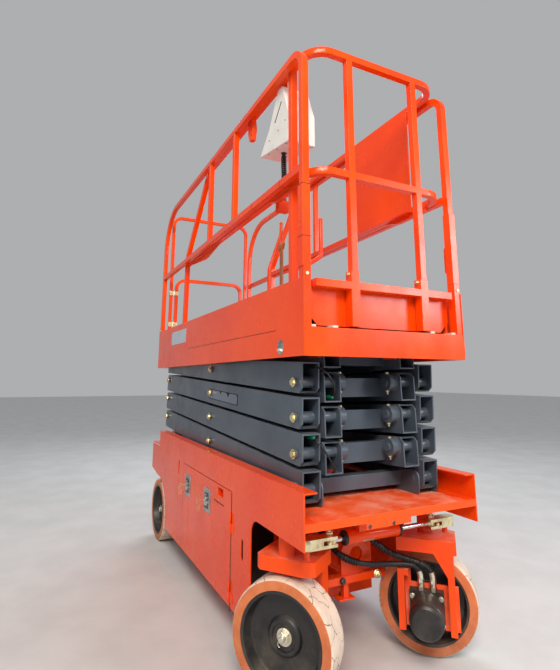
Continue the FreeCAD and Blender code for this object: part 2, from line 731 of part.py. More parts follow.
for side, sign in SIDES.items():
    node(tray_door(sign), f"tray_door_{side}")
unit_low = S.tray_height + 6
unit_out = S.chassis_width / 2 - 45
keel_out = S.keel_place + 6
node(box((-260, 480), (-unit_out, -keel_out - 38), (unit_low, 520)), "battery_pack")
node(box((-260, 480), (keel_out + 38, unit_out), (unit_low, 520)), "hydraulic_unit")
tray_out = unit_out + 8
tray = [box((-282, 506), (-tray_out, -keel_out) if s < 0 else (keel_out, tray_out), (S.tray_height, unit_low))
        for s in (1, -1)]
node(group(*tray), "unit_trays")


# Scissor stack. Every arm is a box tube with a round sleeve at each pin. In an outer arm the front pin lies below
# the tube's middle line and the rear pin above it, and in an inner arm the other way round.

rest_angle = arcsine(S.level_step / S.pin_span)
half_pins = S.pin_span / 2
end_pin = root(half_pins * half_pins - S.pin_offset * S.pin_offset)
tube_tilt = rest_angle - arcsine(S.pin_offset / half_pins)
centre_x = S.front_pin - half_pins * cosine(rest_angle)
rear_pin = S.front_pin - S.pin_span * cosine(rest_angle)


def arm_tube(lift, lane_centre, running):
    """One box tube about its centre pin, along X. lift is +1 where the front pin lies above the middle line, and
    running names the sleeves that turn on another piece's pin."""
    end = end_pin + S.tube_overhang
    high = S.tube_tall / 2
    front_cut = S.tube_chamfer
    body = new_body()
    sketch = sketch_on(body, "XZ_Plane")
    flip = [(end, -high * lift), (end, (high - front_cut) * lift), (end - front_cut, high * lift), (-end, high * lift),
            (-end, (front_cut - high) * lift), (front_cut - end, -high * lift)]
    polygon(sketch, flip)
    pad(body, sketch, S.tube_wide, True)
    hollow = sketch_on(body, "YZ_Plane")
    wide, tall = S.tube_wide / 2 - S.tube_wall, high - S.tube_wall
    polygon(hollow, [(-wide, -tall), (wide, -tall), (wide, tall), (-wide, tall)])
    pocket(body, hollow)
    sleeves = sketch_on(body, "XZ_Plane")
    spots = {"front": (end_pin, S.pin_offset * lift), "centre": (0, 0), "rear": (-end_pin, -S.pin_offset * lift)}
    for x, z in spots.values():
        circle(sleeves, x, z, S.sleeve_radius)
    pad(body, sleeves, S.tube_wide, True)
    if running:
        bores = sketch_on(body, "XZ_Plane")
        for spot in running:
            circle(bores, *spots[spot], S.pin_radius + S.pin_clearance)
        pocket(body, bores)
    place(body, 0, lane_centre, 0)
    return body


def arm_placed(pieces, level, tilt, name):
    arm = fuse(*pieces)
    piece = group(arm)
    piece.Placement = FreeCAD.Placement(FreeCAD.Vector(), FreeCAD.Rotation(FreeCAD.Vector(0, 1, 0), number(tilt)))
    place(piece, centre_x, 0, S.base_pin_height + (level - 0.5) * S.level_step)
    return node(piece, name)


def pins_through(x, z, low, high):
    """A pin on each side of the machine, between two distances from the middle."""
    return [rod("Y", S.pin_radius, low, high, x, 0, z), rod("Y", S.pin_radius, -high, -low, x, 0, z)]


LEVELS = (1, 2, 3, 4)
outer_face = outer_lane + S.tube_wide / 2
for level in LEVELS:
    running = ["front"] if level == 1 else []
    tubes = [arm_tube(-1, outer_lane, running), arm_tube(-1, -outer_lane, running)]
    heads = pins_through(0, 0, inner_lane - S.tube_wide / 2 - 12, outer_face + 9)
    if level > 1:
        heads += pins_through(end_pin, -S.pin_offset, inner_lane - S.boss_reach, outer_face + 9)
    reach = outer_face + (48 if level == 4 else 9)
    shaft = rod("Y", S.pin_radius, -reach, reach, -end_pin, 0, S.pin_offset)
    arm_placed(tubes + heads + [shaft], level, tube_tilt, f"outer_arm_{level}")

for level in LEVELS:
    running = ["front", "centre"] if level == 1 else ["front", "centre", "rear"]
    tubes = [arm_tube(1, inner_lane, running), arm_tube(1, -inner_lane, running)]
    inner_face = inner_lane - S.tube_wide / 2
    crosses = [box((x - S.cross_deep / 2, x + S.cross_deep / 2), (-inner_face, inner_face),
                   (-S.cross_tall / 2, S.cross_tall / 2)) for x in (end_pin - S.cross_setback, -end_pin + 130)]
    pieces = tubes + crosses
    if level == 1:
        eye_low, eye_high = S.lift_eye_height - S.lift_eye_radius - 4, S.lift_eye_height + S.lift_eye_radius + 8
        eye_span = (S.lift_eye_place - 40, S.lift_eye_place + 40)
        pieces.append(box(eye_span, (-inner_face, inner_face), (eye_high, S.tube_tall / 2 - 2)))
        pieces += [box(eye_span, lane(s, S.lift_cheek + S.plate_wall / 2, S.plate_wall), (eye_low, eye_high))
                   for s in (1, -1)]
    bosses = []
    for s in (1, -1):
        start = inner_lane - S.boss_reach + 8 if level < 4 else inner_face - 4
        ends = (start, inner_face) if s > 0 else (-inner_face, -start)
        boss = rod("Y", S.boss_radius, ends[0], ends[1], end_pin, 0, S.pin_offset)
        bore = rod("Y", S.pin_radius + S.pin_clearance, ends[0] - 1, ends[1] + 1, end_pin, 0, S.pin_offset)
        bosses.append(cut(boss, bore))
    if level == 1:
        reach = track_lane + 26
        pieces.append(rod("Y", S.pin_radius, -reach, reach, -end_pin, 0, -S.pin_offset))
    arm_placed(pieces + bosses, level, -tube_tilt, f"inner_arm_{level}")


def rollers(radius, lane_centre, width, height):
    """A pair of rollers on the ends of a shaft at the rear pins' place."""
    pair = []
    for s in (1, -1):
        span = lane(s, lane_centre, width)
        wheel_disc = rod("Y", radius, span[0], span[1], rear_pin, 0, height)
        bore = rod("Y", S.pin_radius, span[0] - 1, span[1] + 1, rear_pin, 0, height)
        pair.append(cut(wheel_disc, bore))
    return group(*pair)


stack_top = S.base_pin_height + 4 * S.level_step
guide_lane = outer_face + 27
node(rollers(S.roller_radius, track_lane, 44, S.base_pin_height), "lower_rollers")
node(rollers(S.guide_radius, guide_lane, 38, stack_top), "upper_rollers")


# Lift cylinder, from a bracket inside the chassis up and back to the middle of the lowest inner arms

eye_x = centre_x + S.lift_eye_place * cosine(rest_angle) - S.lift_eye_height * sine(rest_angle)
eye_z = S.base_pin_height + S.level_step / 2 + S.lift_eye_place * sine(rest_angle) + S.lift_eye_height * cosine(rest_angle)
run_x = eye_x - S.lift_base_place
run_z = eye_z - S.lift_base_height
lift_length = root(run_x * run_x + run_z * run_z)


def along_lift(pieces, name):
    """Puts pieces drawn along +X from the base eye onto the cylinder's own line."""
    angle = math.degrees(math.atan2(number(run_z), number(run_x)))
    piece = group(pieces)
    piece.Placement = FreeCAD.Placement(FreeCAD.Vector(), FreeCAD.Rotation(FreeCAD.Vector(0, 1, 0), -angle))
    place(piece, S.lift_base_place, 0, S.lift_base_height)
    return node(piece, name)


neck = lift_length - S.lift_rod_radius - 110
barrel_tube = cut(rod("X", S.lift_barrel_radius, 75, neck), rod("X", S.lift_rod_radius + 0.3, 120, neck + 1))
collar = cut(rod("X", S.lift_barrel_radius + 7, neck - 45, neck), rod("X", S.lift_rod_radius + 0.3, neck - 46, neck + 1))
base_eye = cut(fuse(box((0, 80), (-28, 28), (-32, 32)), rod("Y", 36, -28, 28)),
               rod("Y", S.pin_radius + S.pin_clearance, -30, 30))
along_lift(fuse(barrel_tube, collar, base_eye), "lift_barrel")
rod_bar = rod("X", S.lift_rod_radius, 130, lift_length - 20)
along_lift(fuse(rod_bar, rod("Y", S.lift_eye_radius, -S.lift_eye_half, S.lift_eye_half, lift_length)), "lift_rod")
cheeks = [box((S.lift_base_place - 28, S.frame_wall_place), lane(s, S.lift_cheek + S.plate_wall / 2, S.plate_wall),
              (S.lift_base_height - 32, S.lift_base_height + 32)) for s in (1, -1)]
cheek_reach = S.lift_cheek + S.plate_wall + 5
node(fuse(*cheeks, rod("Y", S.pin_radius, -cheek_reach, cheek_reach, S.lift_base_place, 0, S.lift_base_height)),
     "lift_base_bracket")


# Platform



def platform_side(sign):
    """Side panel with the access hole to the front pin and the roller channel along its foot."""
    front, rear = S.platform_front, -S.platform_rear
    body = plate("XZ_Plane", [(rear, S.platform_bottom), (front, S.platform_bottom), (front, S.panel_top),
                              (rear, S.panel_top)], S.panel_wall, [(S.front_pin, stack_top, S.access_hole)])
    place(body, 0, half_platform if sign > 0 else -half_platform + S.panel_wall, 0)
    edge = half_platform - S.panel_wall
    guide_in = outer_face + 6
    span = (guide_in, edge) if sign > 0 else (-edge, -guide_in)
    low_top = stack_top - S.guide_radius - S.roller_gap
    high_low = stack_top + S.guide_radius + S.roller_gap
    lower = box((rear + S.panel_wall, 100), span, (S.platform_bottom, low_top))
    upper = box((rear + S.panel_wall, front - S.panel_wall), span, (high_low, S.beam_top - S.floor_plate))
    return fuse(body, lower, upper)


for side, sign in SIDES.items():
    node(platform_side(sign), f"platform_side_{side}")

edge = half_platform - S.panel_wall
node(box((-S.platform_rear + S.panel_wall, S.platform_front - S.panel_wall), (-edge, edge),
         (S.beam_top - S.floor_plate, S.beam_top)), "platform_floor")
front_beam = box((S.platform_front - S.panel_wall, S.platform_front), (-edge, edge), (S.platform_bottom, S.beam_top))
rear_beam = box((-S.platform_rear, -S.platform_rear + S.panel_wall), (-edge, edge), (S.platform_bottom, S.beam_top + 60))
node(group(front_beam, rear_beam), "platform_end_beams")


def platform_mounts():
    """Lugs and pins that hang the platform on the front ends of the top inner arms."""
    pieces = []
    for s in (1, -1):
        inner = inner_lane - S.tube_wide / 2 - 10
        outer = inner_lane + S.tube_wide / 2 + 10
        for at in (inner, outer):
            pieces.append(box((S.front_pin - 40, S.front_pin + 40), lane(s, at, S.lug_wall),
                              (stack_top - 36, S.beam_top - S.floor_plate)))
        ends = (inner - 6, outer + 6) if s > 0 else (-outer - 6, -inner + 6)
        pieces.append(rod("Y", S.pin_radius, ends[0], ends[1], S.front_pin, 0, stack_top))
    return group(fuse(*pieces[:3]), fuse(*pieces[3:]))


node(platform_mounts(), "platform_mounts")

rail_y = half_platform - S.panel_wall - S.rail_tube / 2
corner_x = S.platform_front - S.panel_wall - S.socket_tube / 2
rear_post = -S.platform_rear + S.panel_wall + S.socket_tube / 2


def main_rail(sign):
    """Outer side rail: one bent tube from the front corner post over the top to the rear post, with its stubs."""
    y = rail_y * sign
    centre_top = S.rail_top - S.rail_tube / 2
    hoop = bent_tube([(corner_x, y, S.beam_top), (corner_x, y, centre_top), (rear_post, y, centre_top),
                      (rear_post, y, S.beam_top)], [S.rail_bend, S.rear_bend], S.rail_tube)
    mid = bent_tube([(corner_x - 15, y, rail_mid), (rear_post + 15, y, rail_mid)], S.rail_bend, S.rail_tube)
    stubs = [box((x - 14, x + 14), lane(sign, rail_y, S.rail_tube - 2), (rail_mid + 15, S.rail_top - S.rail_tube))
             for x in (0, 420)]
    sockets = [box((x - S.socket_tube / 2, x + S.socket_tube / 2), lane(sign, rail_y, S.rail_tube),
                   (S.beam_top, S.socket_top)) for x in (corner_x, rear_post)]
    sleeve_half = S.sleeve_tube / 2
    sleeve = box((corner_x - sleeve_half, corner_x + sleeve_half), lane(sign, rail_y + 1.5, S.rail_tube + 5),
                 (S.socket_top, rail_mid - S.sleeve_drop))
    grip_x = corner_x - S.sleeve_tube / 2 - 16
    grip = round_tube([(corner_x, y, S.grip_low), (grip_x, y, S.grip_low), (grip_x, y, S.grip_high),
                       (corner_x, y, S.grip_high)], [8, 8], S.grip_radius)
    return fuse(hoop, mid, *stubs, *sockets, sleeve, grip)


for side, sign in SIDES.items():
    node(main_rail(sign), f"main_rail_{side}")

hoop_y = rail_y - 50
rear_x = rear_post + 19
hoop_top = S.rail_top - 2
node(bent_tube([(rear_x, -hoop_y, S.beam_top), (rear_x, -hoop_y, hoop_top), (rear_x, hoop_y, hoop_top),
                (rear_x, hoop_y, S.beam_top)], S.rail_bend, S.rail_tube - 4), "rear_hoop")
gate_y = hoop_y - 44
gate_top = rail_mid - 5
gate_tube = S.rail_tube - 4
gate_frame = bent_tube([(rear_x, -gate_y, S.panel_top - 60), (rear_x, -gate_y, gate_top), (rear_x, gate_y, gate_top),
                        (rear_x, gate_y, S.panel_top - 60)], S.rail_bend, gate_tube)
gate_bar = bent_tube([(rear_x, -gate_y, S.panel_top - 44), (rear_x, gate_y, S.panel_top - 44)], S.rail_bend, gate_tube - 2)
gate_hinges = (S.panel_top + 43, rail_mid - 144)
hinge_size = (hoop_y - gate_y - gate_tube) / 2 - S.seat_gap
gate_hinge_x = rear_x + S.gate_hinge_inset
hinges = [rod("Z", hinge_size, z, z + 44, gate_hinge_x, -(hoop_y + gate_y) / 2) for z in gate_hinges]
node(fuse(gate_frame, gate_bar, *[box((rear_x - 4, rear_x + 6), (-hoop_y + 14.5, -gate_y), (z + 8, z + 36))
                                  for z in gate_hinges], *hinges), "entry_gate")


# Extension deck with its own guard, nested inside the main rails

inner_y = rail_y - S.rail_tube - S.inner_rail_gap
toe_x = S.platform_front - S.toe_setback


def extension_deck():
    """Roll-out floor with the toe panel at its front, lower corners cut away."""
    wide = inner_y + S.rail_tube / 2 - 2
    floor = box((S.extension_rear, toe_x), (-wide, wide), (S.extension_floor - S.extension_plate, S.extension_floor))
    low, cut_off = S.beam_top + S.slide_height, 45
    runners = [box((S.extension_rear, toe_x), lane(s, wide - 5, 10), (low, S.extension_floor)) for s in (1, -1)]
    feet = [box((S.extension_rear, S.extension_rear + 60), lane(s, wide - 5, 10), (S.beam_top + S.seat_gap, low))
            for s in (1, -1)]
    toe = plate("YZ_Plane", [(-wide + cut_off, low), (wide - cut_off, low), (wide, low + cut_off), (wide, S.panel_top - 2),
                             (-wide, S.panel_top - 2), (-wide, low + cut_off)], S.panel_wall)
    place(toe, toe_x, 0, 0)
    return fuse(floor, *runners, *feet, toe)


node(extension_deck(), "extension_deck")
pad_top = S.beam_top + S.slide_height - S.seat_gap
node(group(*[box((toe_x - 8, toe_x + 40), (y - 12, y + 12), (S.beam_top, pad_top))
             for y in (-inner_y - 8, -256, 232, inner_y + 8)]), "slide_pads")


def rail_plates(sign):
    """Guide plates welded under the middle rail of the guard: a long one by the strut and one near the front."""
    level = rail_mid - S.rail_tube / 2
    shapes = [[(-620, level), (-180, level - 44), (-120, level - 40), (140, level)],
              [(793, level), (884, level - 22), (1083, level - 18), (1083, level)]]
    plates = [plate("XZ_Plane", shape, thick, both_ways=True) for shape, thick in zip(shapes, (S.rail_plate, 22))]
    for piece in plates:
        place(piece, 0, inner_y * sign, 0)
    return plates


def extension_guard():
    """Front guard: two U-shaped rails round three sides, two middle posts, side posts and slanted rear struts."""
    post_x = S.platform_front - S.rail_tube / 2
    top, mid = guard_top - S.rail_tube / 2, rail_mid
    top_u = bent_tube([(-148, -inner_y, top), (post_x, -inner_y, top), (post_x, inner_y, top), (-148, inner_y, top)],
                      S.guard_bend, S.rail_tube)
    mid_u = bent_tube([(-640, -inner_y, mid), (post_x, -inner_y, mid), (post_x, inner_y, mid), (-640, inner_y, mid)],
                      S.guard_bend, S.rail_tube)
    reach = S.rail_tube / 2
    posts = []
    for y in FRONT_POSTS:
        posts.append(box((post_x - reach, post_x + reach), (y - reach, y + reach), (S.panel_top, top)))
        posts.append(box((S.platform_front - S.socket_tube, S.platform_front), (y - 20, y + 20),
                         (S.beam_top + 8, S.socket_top)))
    bar = box((S.platform_front - S.socket_tube, S.platform_front), (-inner_y, inner_y), (S.panel_top - 30, S.panel_top))
    brace = box((toe_x + S.panel_wall, S.platform_front - S.socket_tube), (-inner_y, inner_y), (S.panel_top - 12, S.panel_top - 2))
    sides = []
    for s in (1, -1):
        y = inner_y * s
        sides.append(bent_tube([(-148, y, top), (-618, y, 2000), (-640, y, S.extension_floor + 0.6)], 60, S.rail_tube))
        sides.append(box((1020 - reach, 1020 + reach), lane(s, inner_y, S.rail_tube), (S.extension_floor, top)))
        sides += rail_plates(s)
    low = guard_top - S.rail_tube
    hook = plate("XZ_Plane", [(532, low), (588, low), (600, low - 60), (588, low - 118), (556, low - 118), (536, low - 70)],
                 24, [(574, low - 88, 9)], both_ways=True)
    place(hook, 0, -inner_y, 0)
    return fuse(top_u, mid_u, bar, brace, *posts, *sides, hook)


FRONT_POSTS = (-166, 188)
node(extension_guard(), "extension_guard")
board_y = inner_y - S.rail_tube / 2
board_low = rail_mid - 14
board = plate("XZ_Plane", [(520, board_low), (1000, board_low), (1000, guard_top - S.rail_tube),
                           (520, guard_top - S.rail_tube)], 6)
place(board, 0, board_y, 0)
node(fuse(board, box((520, 1000), (board_y - 32, board_y - 6), (board_low, board_low + 5))), "side_board")


def extension_handles():
    """Two bent grab bars that stand on the roll-out deck, and the lever of its lock with its wing knob."""
    floor = S.extension_floor
    grab = [round_tube([(200, -70, floor), (200, -70, 1770), (200, 10, 2000), (200, 10, 2074)], [60, 60],
                       S.handle_radius),
            round_tube([(800, -150, floor), (800, -150, 1655), (800, -75, 1705), (800, -75, 1897)], [30, 30],
                       S.handle_radius)]
    lever = plate("XZ_Plane", [(488, floor), (512, floor), (507, 1815), (493, 1815)], 8)
    place(lever, 0, -134, 0)
    knob = rod("Y", 14, -148, -128, 500, 0, 1824)
    wing = box((480, 520), (-146, -140), (1819, 1829))
    feet = [box((x - 26, x + 26), (y - 22, y + 22), (floor, floor + 5)) for x, y in ((200, -72), (800, -150), (500, -138))]
    return group(fuse(grab[0], feet[0]), fuse(grab[1], feet[1]), fuse(lever, knob, wing, feet[2]))


node(extension_handles(), "extension_handles")


def control_station():
    """White control box at the guard's front corner: upright back, sloping face towards the operator."""
    low = station_low
    body = plate("XZ_Plane", [(700, low), (1000, low - 50), (1000, low + 90), (940, low + 250), (898, low + 250),
                              (867, low + 204), (806, low + 102)], S.station_wide)
    place(body, 0, station_out + S.station_wide, 0)
    return body


station_out = -inner_y - S.rail_tube / 2 + 2
node(control_station(), "control_station")
hang_low = station_low + 250
inner_face = -inner_y + S.rail_tube / 2
curl_x, curl_y = 838, -296
curl_top = station_low - 25.5
socket_high = rail_mid - 14
node(group(fuse(box((900, 936), (inner_face, inner_face + S.bracket_wall), (hang_low, guard_top + 4)),
                box((900, 936), (station_out, inner_face), (guard_top, guard_top + 4))),
           box((curl_x - 20, curl_x + 20), (inner_face, curl_y + 22), (socket_high - 50, socket_high))),
     "control_bracket")
node(cord_tube([(curl_x, curl_y, curl_top), (curl_x - 2, curl_y, curl_top - 45), (curl_x - 8, curl_y + 6, curl_top - 115),
                (curl_x, curl_y, socket_high + 60), (curl_x, curl_y, socket_high + S.seat_gap)], S.curl_radius), "control_cable")

doc.recompute()
os.makedirs("parts", exist_ok=True)
failed = [f"{thing.Name} {thing.State}" for thing in doc.Objects if {"Invalid", "Error"} & set(thing.State)]
for thing in nodes:
    if thing.Shape.isNull() or not thing.Shape.isValid() or not thing.Shape.Solids:
        failed.append(thing.Label)
if failed:
    raise SystemExit(f"these did not build: {failed}")
for thing in nodes:
    thing.Shape.exportStep(f"parts/{thing.Label}.step")
    print(thing.Label, len(thing.Shape.Solids), round(thing.Shape.Volume / 1e6, 3))
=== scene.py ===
import json
import math

import bmesh
import bpy
from mathutils import Matrix, Vector


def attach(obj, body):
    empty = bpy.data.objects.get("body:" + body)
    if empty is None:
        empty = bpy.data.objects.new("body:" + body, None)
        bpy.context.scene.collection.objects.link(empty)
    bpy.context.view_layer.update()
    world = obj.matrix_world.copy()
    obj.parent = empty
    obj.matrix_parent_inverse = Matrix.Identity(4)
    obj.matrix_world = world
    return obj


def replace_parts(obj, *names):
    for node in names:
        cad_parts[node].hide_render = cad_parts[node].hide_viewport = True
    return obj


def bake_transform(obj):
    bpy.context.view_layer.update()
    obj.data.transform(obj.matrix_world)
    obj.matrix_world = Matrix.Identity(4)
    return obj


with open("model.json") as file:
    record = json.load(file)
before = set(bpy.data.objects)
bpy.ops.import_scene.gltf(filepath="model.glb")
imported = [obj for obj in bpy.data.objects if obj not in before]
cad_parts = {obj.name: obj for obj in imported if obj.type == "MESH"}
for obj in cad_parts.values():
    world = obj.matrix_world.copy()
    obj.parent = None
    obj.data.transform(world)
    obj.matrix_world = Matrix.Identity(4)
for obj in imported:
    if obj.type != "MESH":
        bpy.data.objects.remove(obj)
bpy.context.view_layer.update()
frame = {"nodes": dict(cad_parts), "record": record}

scene = bpy.context.scene
nodes = frame["nodes"]


# Camera, at the viewing angle of the photograph

def photo_camera():
    """The photograph's camera, which stands low before the machine's right front corner and looks up."""
    place = Vector((2.6671, -1.2301, 1.1240))
    yaw, pitch, roll = 0.45966, 0.19358, 0.00286
    level = Vector((-math.cos(yaw), math.sin(yaw), 0))
    right = level.cross(Vector((0, 0, 1)))
    ahead = level * math.cos(pitch) + Vector((0, 0, math.sin(pitch)))
    up = right.cross(ahead)
    rolled_right = right * math.cos(roll) + up * math.sin(roll)
    rolled_up = up * math.cos(roll) - right * math.sin(roll)
    data = bpy.data.cameras.new("photo_camera")
    data.sensor_fit = "AUTO"
    data.sensor_width = 36
    data.lens = 25.076
    data.shift_x, data.shift_y = 0.00276, -0.07109
    data.clip_end = 200
    camera = bpy.data.objects.new("photo_camera", data)
    turn = Matrix((rolled_right, rolled_up, -ahead)).transposed().to_4x4()
    camera.matrix_world = Matrix.Translation(place) @ turn
    scene.collection.objects.link(camera)
    scene.camera = camera


photo_camera()


# Shader effects that several finishes share

NUMBER = "NodeSocketFloat"


def effect(name, inputs, outputs):
    """An empty node group with its sockets, and its input and output nodes."""
    tree = bpy.data.node_groups.new(name, "ShaderNodeTree")
    for label, kind, value in inputs:
        socket = tree.interface.new_socket(label, in_out="INPUT", socket_type=kind)
        if value is not None:
            socket.default_value = value
    for label, kind in outputs:
        tree.interface.new_socket(label, in_out="OUTPUT", socket_type=kind)
    return tree, tree.nodes.new("NodeGroupInput"), tree.nodes.new("NodeGroupOutput")


def add(tree, kind, links=(), **settings):
    """A node with its settings, and links given as (input, source socket or value)."""
    made = tree.nodes.new("ShaderNode" + kind)
    for key, value in settings.items():
        setattr(made, key, value)
    for socket, source in links:
        if isinstance(source, bpy.types.NodeSocket):
            tree.links.new(source, made.inputs[socket])
        else:
            made.inputs[socket].default_value = source
    return made


def maths(tree, operation, *values, clamp=False):
    """The result of a sum on sockets or numbers."""
    return add(tree, "Math", list(enumerate(values)), operation=operation, use_clamp=clamp).outputs[0]


def ramp(tree, source, low, high, from_value=0.0, to_value=1.0):
    """A smooth step of the source between low and high."""
    links = [("Value", source), ("From Min", low), ("From Max", high),
             ("To Min", from_value), ("To Max", to_value)]
    return add(tree, "MapRange", links, interpolation_type="SMOOTHSTEP").outputs[0]


def noise(tree, scale, detail=4.0, roughness=0.55, stretch=(1, 1, 1)):
    """Noise that stays on the object as it moves."""
    spot = add(tree, "TexCoord").outputs["Object"]
    mapped = add(tree, "Mapping", [("Vector", spot), ("Scale", stretch)]).outputs[0]
    links = [("Vector", mapped), ("Scale", scale), ("Detail", detail), ("Roughness", roughness)]
    return add(tree, "TexNoise", links).outputs["Fac"]


def set_bump(tree, shader, height, strength, distance):
    """Feeds a height into the shader's normal."""
    bump = add(tree, "Bump", [("Height", height), ("Strength", strength), ("Distance", distance)])
    tree.links.new(bump.outputs[0], shader.inputs["Normal"])


def make_wear():
    """Edges rubbed by use: a mask from the rounded normal at corners, broken up by noise."""
    tree, given, result = effect("edge_wear", [("Width", NUMBER, 0.003), ("Amount", NUMBER, 0.5),
                                               ("Patchiness", NUMBER, 30.0)], [("Mask", NUMBER)])
    rounded = add(tree, "Bevel", [("Radius", given.outputs["Width"])], samples=4).outputs[0]
    flat = add(tree, "NewGeometry").outputs["Normal"]
    agree = add(tree, "VectorMath", [(0, rounded), (1, flat)], operation="DOT_PRODUCT").outputs["Value"]
    corner = ramp(tree, agree, 0.985, 0.85)
    spot = add(tree, "TexCoord").outputs["Object"]
    links = [("Vector", spot), ("Scale", given.outputs["Patchiness"]), ("Detail", 6.0), ("Roughness", 0.7)]
    kept = ramp(tree, add(tree, "TexNoise", links).outputs["Fac"], 0.42, 0.68)
    mask = maths(tree, "MULTIPLY", corner, kept)
    amount = maths(tree, "MULTIPLY", mask, given.outputs["Amount"], clamp=True)
    tree.links.new(amount, result.inputs["Mask"])
    return tree


def make_dust_and_shade():
    """Dust that settles on upward faces, gathers in corners and splashes up from the ground; the corners come
    from occlusion, so a darker colour there is painted shade.
    """
    tree, given, result = effect("settled_dust_and_shade", [("Amount", NUMBER, 0.5), ("Ground Height", NUMBER, 0.35)],
                                 [("Mask", NUMBER)])
    spot = add(tree, "TexCoord").outputs["Object"]
    height = add(tree, "SeparateXYZ", [(0, spot)]).outputs["Z"]
    splash = ramp(tree, height, given.outputs["Ground Height"], 0.0)
    facing = add(tree, "SeparateXYZ", [(0, add(tree, "NewGeometry").outputs["Normal"])]).outputs["Z"]
    upward = ramp(tree, facing, 0.55, 1.0, 0.0, 0.6)
    # occlusion finds hidden corners and gaps between parts, where shade falls: painted shade wherever the
    # mixed colour is darker
    occluded_shade = add(tree, "AmbientOcclusion", [("Distance", 0.05)], samples=4).outputs["AO"]
    corner = ramp(tree, occluded_shade, 0.75, 0.25, 0.0, 0.7)
    blotches = noise(tree, 9.0, 8.0, 0.65)
    grains = noise(tree, 260.0, 2.0, 0.5)
    sum_up = maths(tree, "ADD", maths(tree, "ADD", splash, upward), corner)
    broken = maths(tree, "MULTIPLY", sum_up, ramp(tree, blotches, 0.35, 0.75))
    grained = maths(tree, "MULTIPLY", broken, ramp(tree, grains, 0.2, 0.7, 0.6, 1.0))
    amount = maths(tree, "MULTIPLY", grained, given.outputs["Amount"], clamp=True)
    tree.links.new(amount, result.inputs["Mask"])
    return tree


def make_peel():
    """The slight waviness of sprayed paint with a few long scratches, as a height."""
    tree, given, result = effect("sprayed_surface", [("Grain", NUMBER, 220.0), ("Scratches", NUMBER, 0.3)],
                                 [("Height", NUMBER), ("Scratch", NUMBER)])
    spot = add(tree, "TexCoord").outputs["Object"]
    links = [("Vector", spot), ("Scale", given.outputs["Grain"]), ("Detail", 2.0)]
    grain = add(tree, "TexNoise", links).outputs["Fac"]
    lines = noise(tree, 14.0, 10.0, 0.75, (0.25, 1.0, 6.0))
    across = noise(tree, 11.0, 10.0, 0.75, (5.0, 1.0, 0.3))
    thin = maths(tree, "MAXIMUM", ramp(tree, lines, 0.70, 0.735), ramp(tree, across, 0.715, 0.75))
    scratch = maths(tree, "MULTIPLY", thin, given.outputs["Scratches"], clamp=True)
    height = maths(tree, "SUBTRACT", maths(tree, "MULTIPLY", grain, 0.25), scratch)
    tree.links.new(height, result.inputs["Height"])
    tree.links.new(scratch, result.inputs["Scratch"])
    return tree


WEAR, DUST_AND_SHADE, PEEL = make_wear(), make_dust_and_shade(), make_peel()


def use(tree, group, **values):
    """A shared effect placed in a material with that material's own values."""
    made = tree.nodes.new("ShaderNodeGroup")
    made.node_tree = group
    for label, value in values.items():
        made.inputs[label.replace("_", " ")].default_value = value
    return made.outputs


def blend_colour(tree, factor, first, second):
    """Two colours mixed by a factor, through the Mix node's colour sockets."""
    factor_socket, first_socket, second_socket, colour_socket = 0, 6, 7, 2
    links = [(factor_socket, factor), (first_socket, first), (second_socket, second)]
    return add(tree, "Mix", links, data_type="RGBA").outputs[colour_socket]


def new_material(name, **shader):
    """A material with its node tree and its Principled shader."""
    made = bpy.data.materials.new(name)
    made.use_nodes = True
    tree = made.node_tree
    principled = tree.nodes["Principled BSDF"]
    for label, value in shader.items():
        principled.inputs[label.replace("_", " ")].default_value = value
    return made, tree, principled


def rgb(red, green, blue):
    """Screen colour in 0 to 255, as the shader's linear colour."""
    linear = [((c / 255 + 0.055) / 1.055) ** 2.4 if c > 10 else c / 255 / 12.92 for c in (red, green, blue)]
    return (*linear, 1)


DUST_GREY = rgb(150, 138, 124)


def painted(name, colour, shade, rub, rough=0.32, dust=0.45, wear=0.5, scratches=0.25, coat=0.25, ground=0.35,
            dust_colour=DUST_GREY, shine=0.5):
    """Sprayed steel: colour that drifts to a shade, rubbed edges, settled dust, scratches and orange peel."""
    made, tree, shader = new_material(name, Coat_Weight=coat, Coat_Roughness=0.2, Specular_IOR_Level=shine)
    drift = ramp(tree, noise(tree, 2.2, 6.0, 0.6), 0.3, 0.7)
    base = blend_colour(tree, drift, colour, shade)
    peel = use(tree, PEEL, Grain=240.0, Scratches=scratches)
    base = blend_colour(tree, peel["Scratch"], base, rub)
    worn = use(tree, WEAR, Width=0.003, Amount=wear, Patchiness=26.0)["Mask"]
    base = blend_colour(tree, worn, base, rub)
    # the dust mask's occlusion share also lays the dust colour into hidden corners: painted shade where that
    # colour is darker than the paint
    dusty = use(tree, DUST_AND_SHADE, Amount=dust, Ground_Height=ground)["Mask"]
    base = blend_colour(tree, dusty, base, dust_colour)
    tree.links.new(base, shader.inputs["Base Color"])
    smudge = ramp(tree, noise(tree, 7.0, 7.0, 0.65), 0.3, 0.75, rough * 0.8, rough * 1.35)
    matt = maths(tree, "ADD", smudge, maths(tree, "MULTIPLY", dusty, 0.5), clamp=True)
    tree.links.new(matt, shader.inputs["Roughness"])
    set_bump(tree, shader, peel["Height"], 0.12, 0.001)
    return made


def metal(name, colour, shade, rough=0.3, grime_and_shade=0.4):
    """Bare or plated metal with stains, grime that also paints shade into hidden corners, and fine working
    marks.
    """
    made, tree, shader = new_material(name, Metallic=1.0)
    stain = ramp(tree, noise(tree, 24.0, 7.0, 0.7), 0.38, 0.7)
    base = blend_colour(tree, stain, colour, shade)
    # dark grime on upward faces and low down, and painted shade in hidden corners from the occlusion term
    dirty = use(tree, DUST_AND_SHADE, Amount=grime_and_shade, Ground_Height=0.1)["Mask"]
    tree.links.new(blend_colour(tree, dirty, base, rgb(70, 62, 54)), shader.inputs["Base Color"])
    matt = maths(tree, "ADD", maths(tree, "MULTIPLY", stain, 0.18), rough, clamp=True)
    tree.links.new(matt, shader.inputs["Roughness"])
    set_bump(tree, shader, noise(tree, 300.0, 3.0, 0.5), 0.1, 0.0006)
    return made


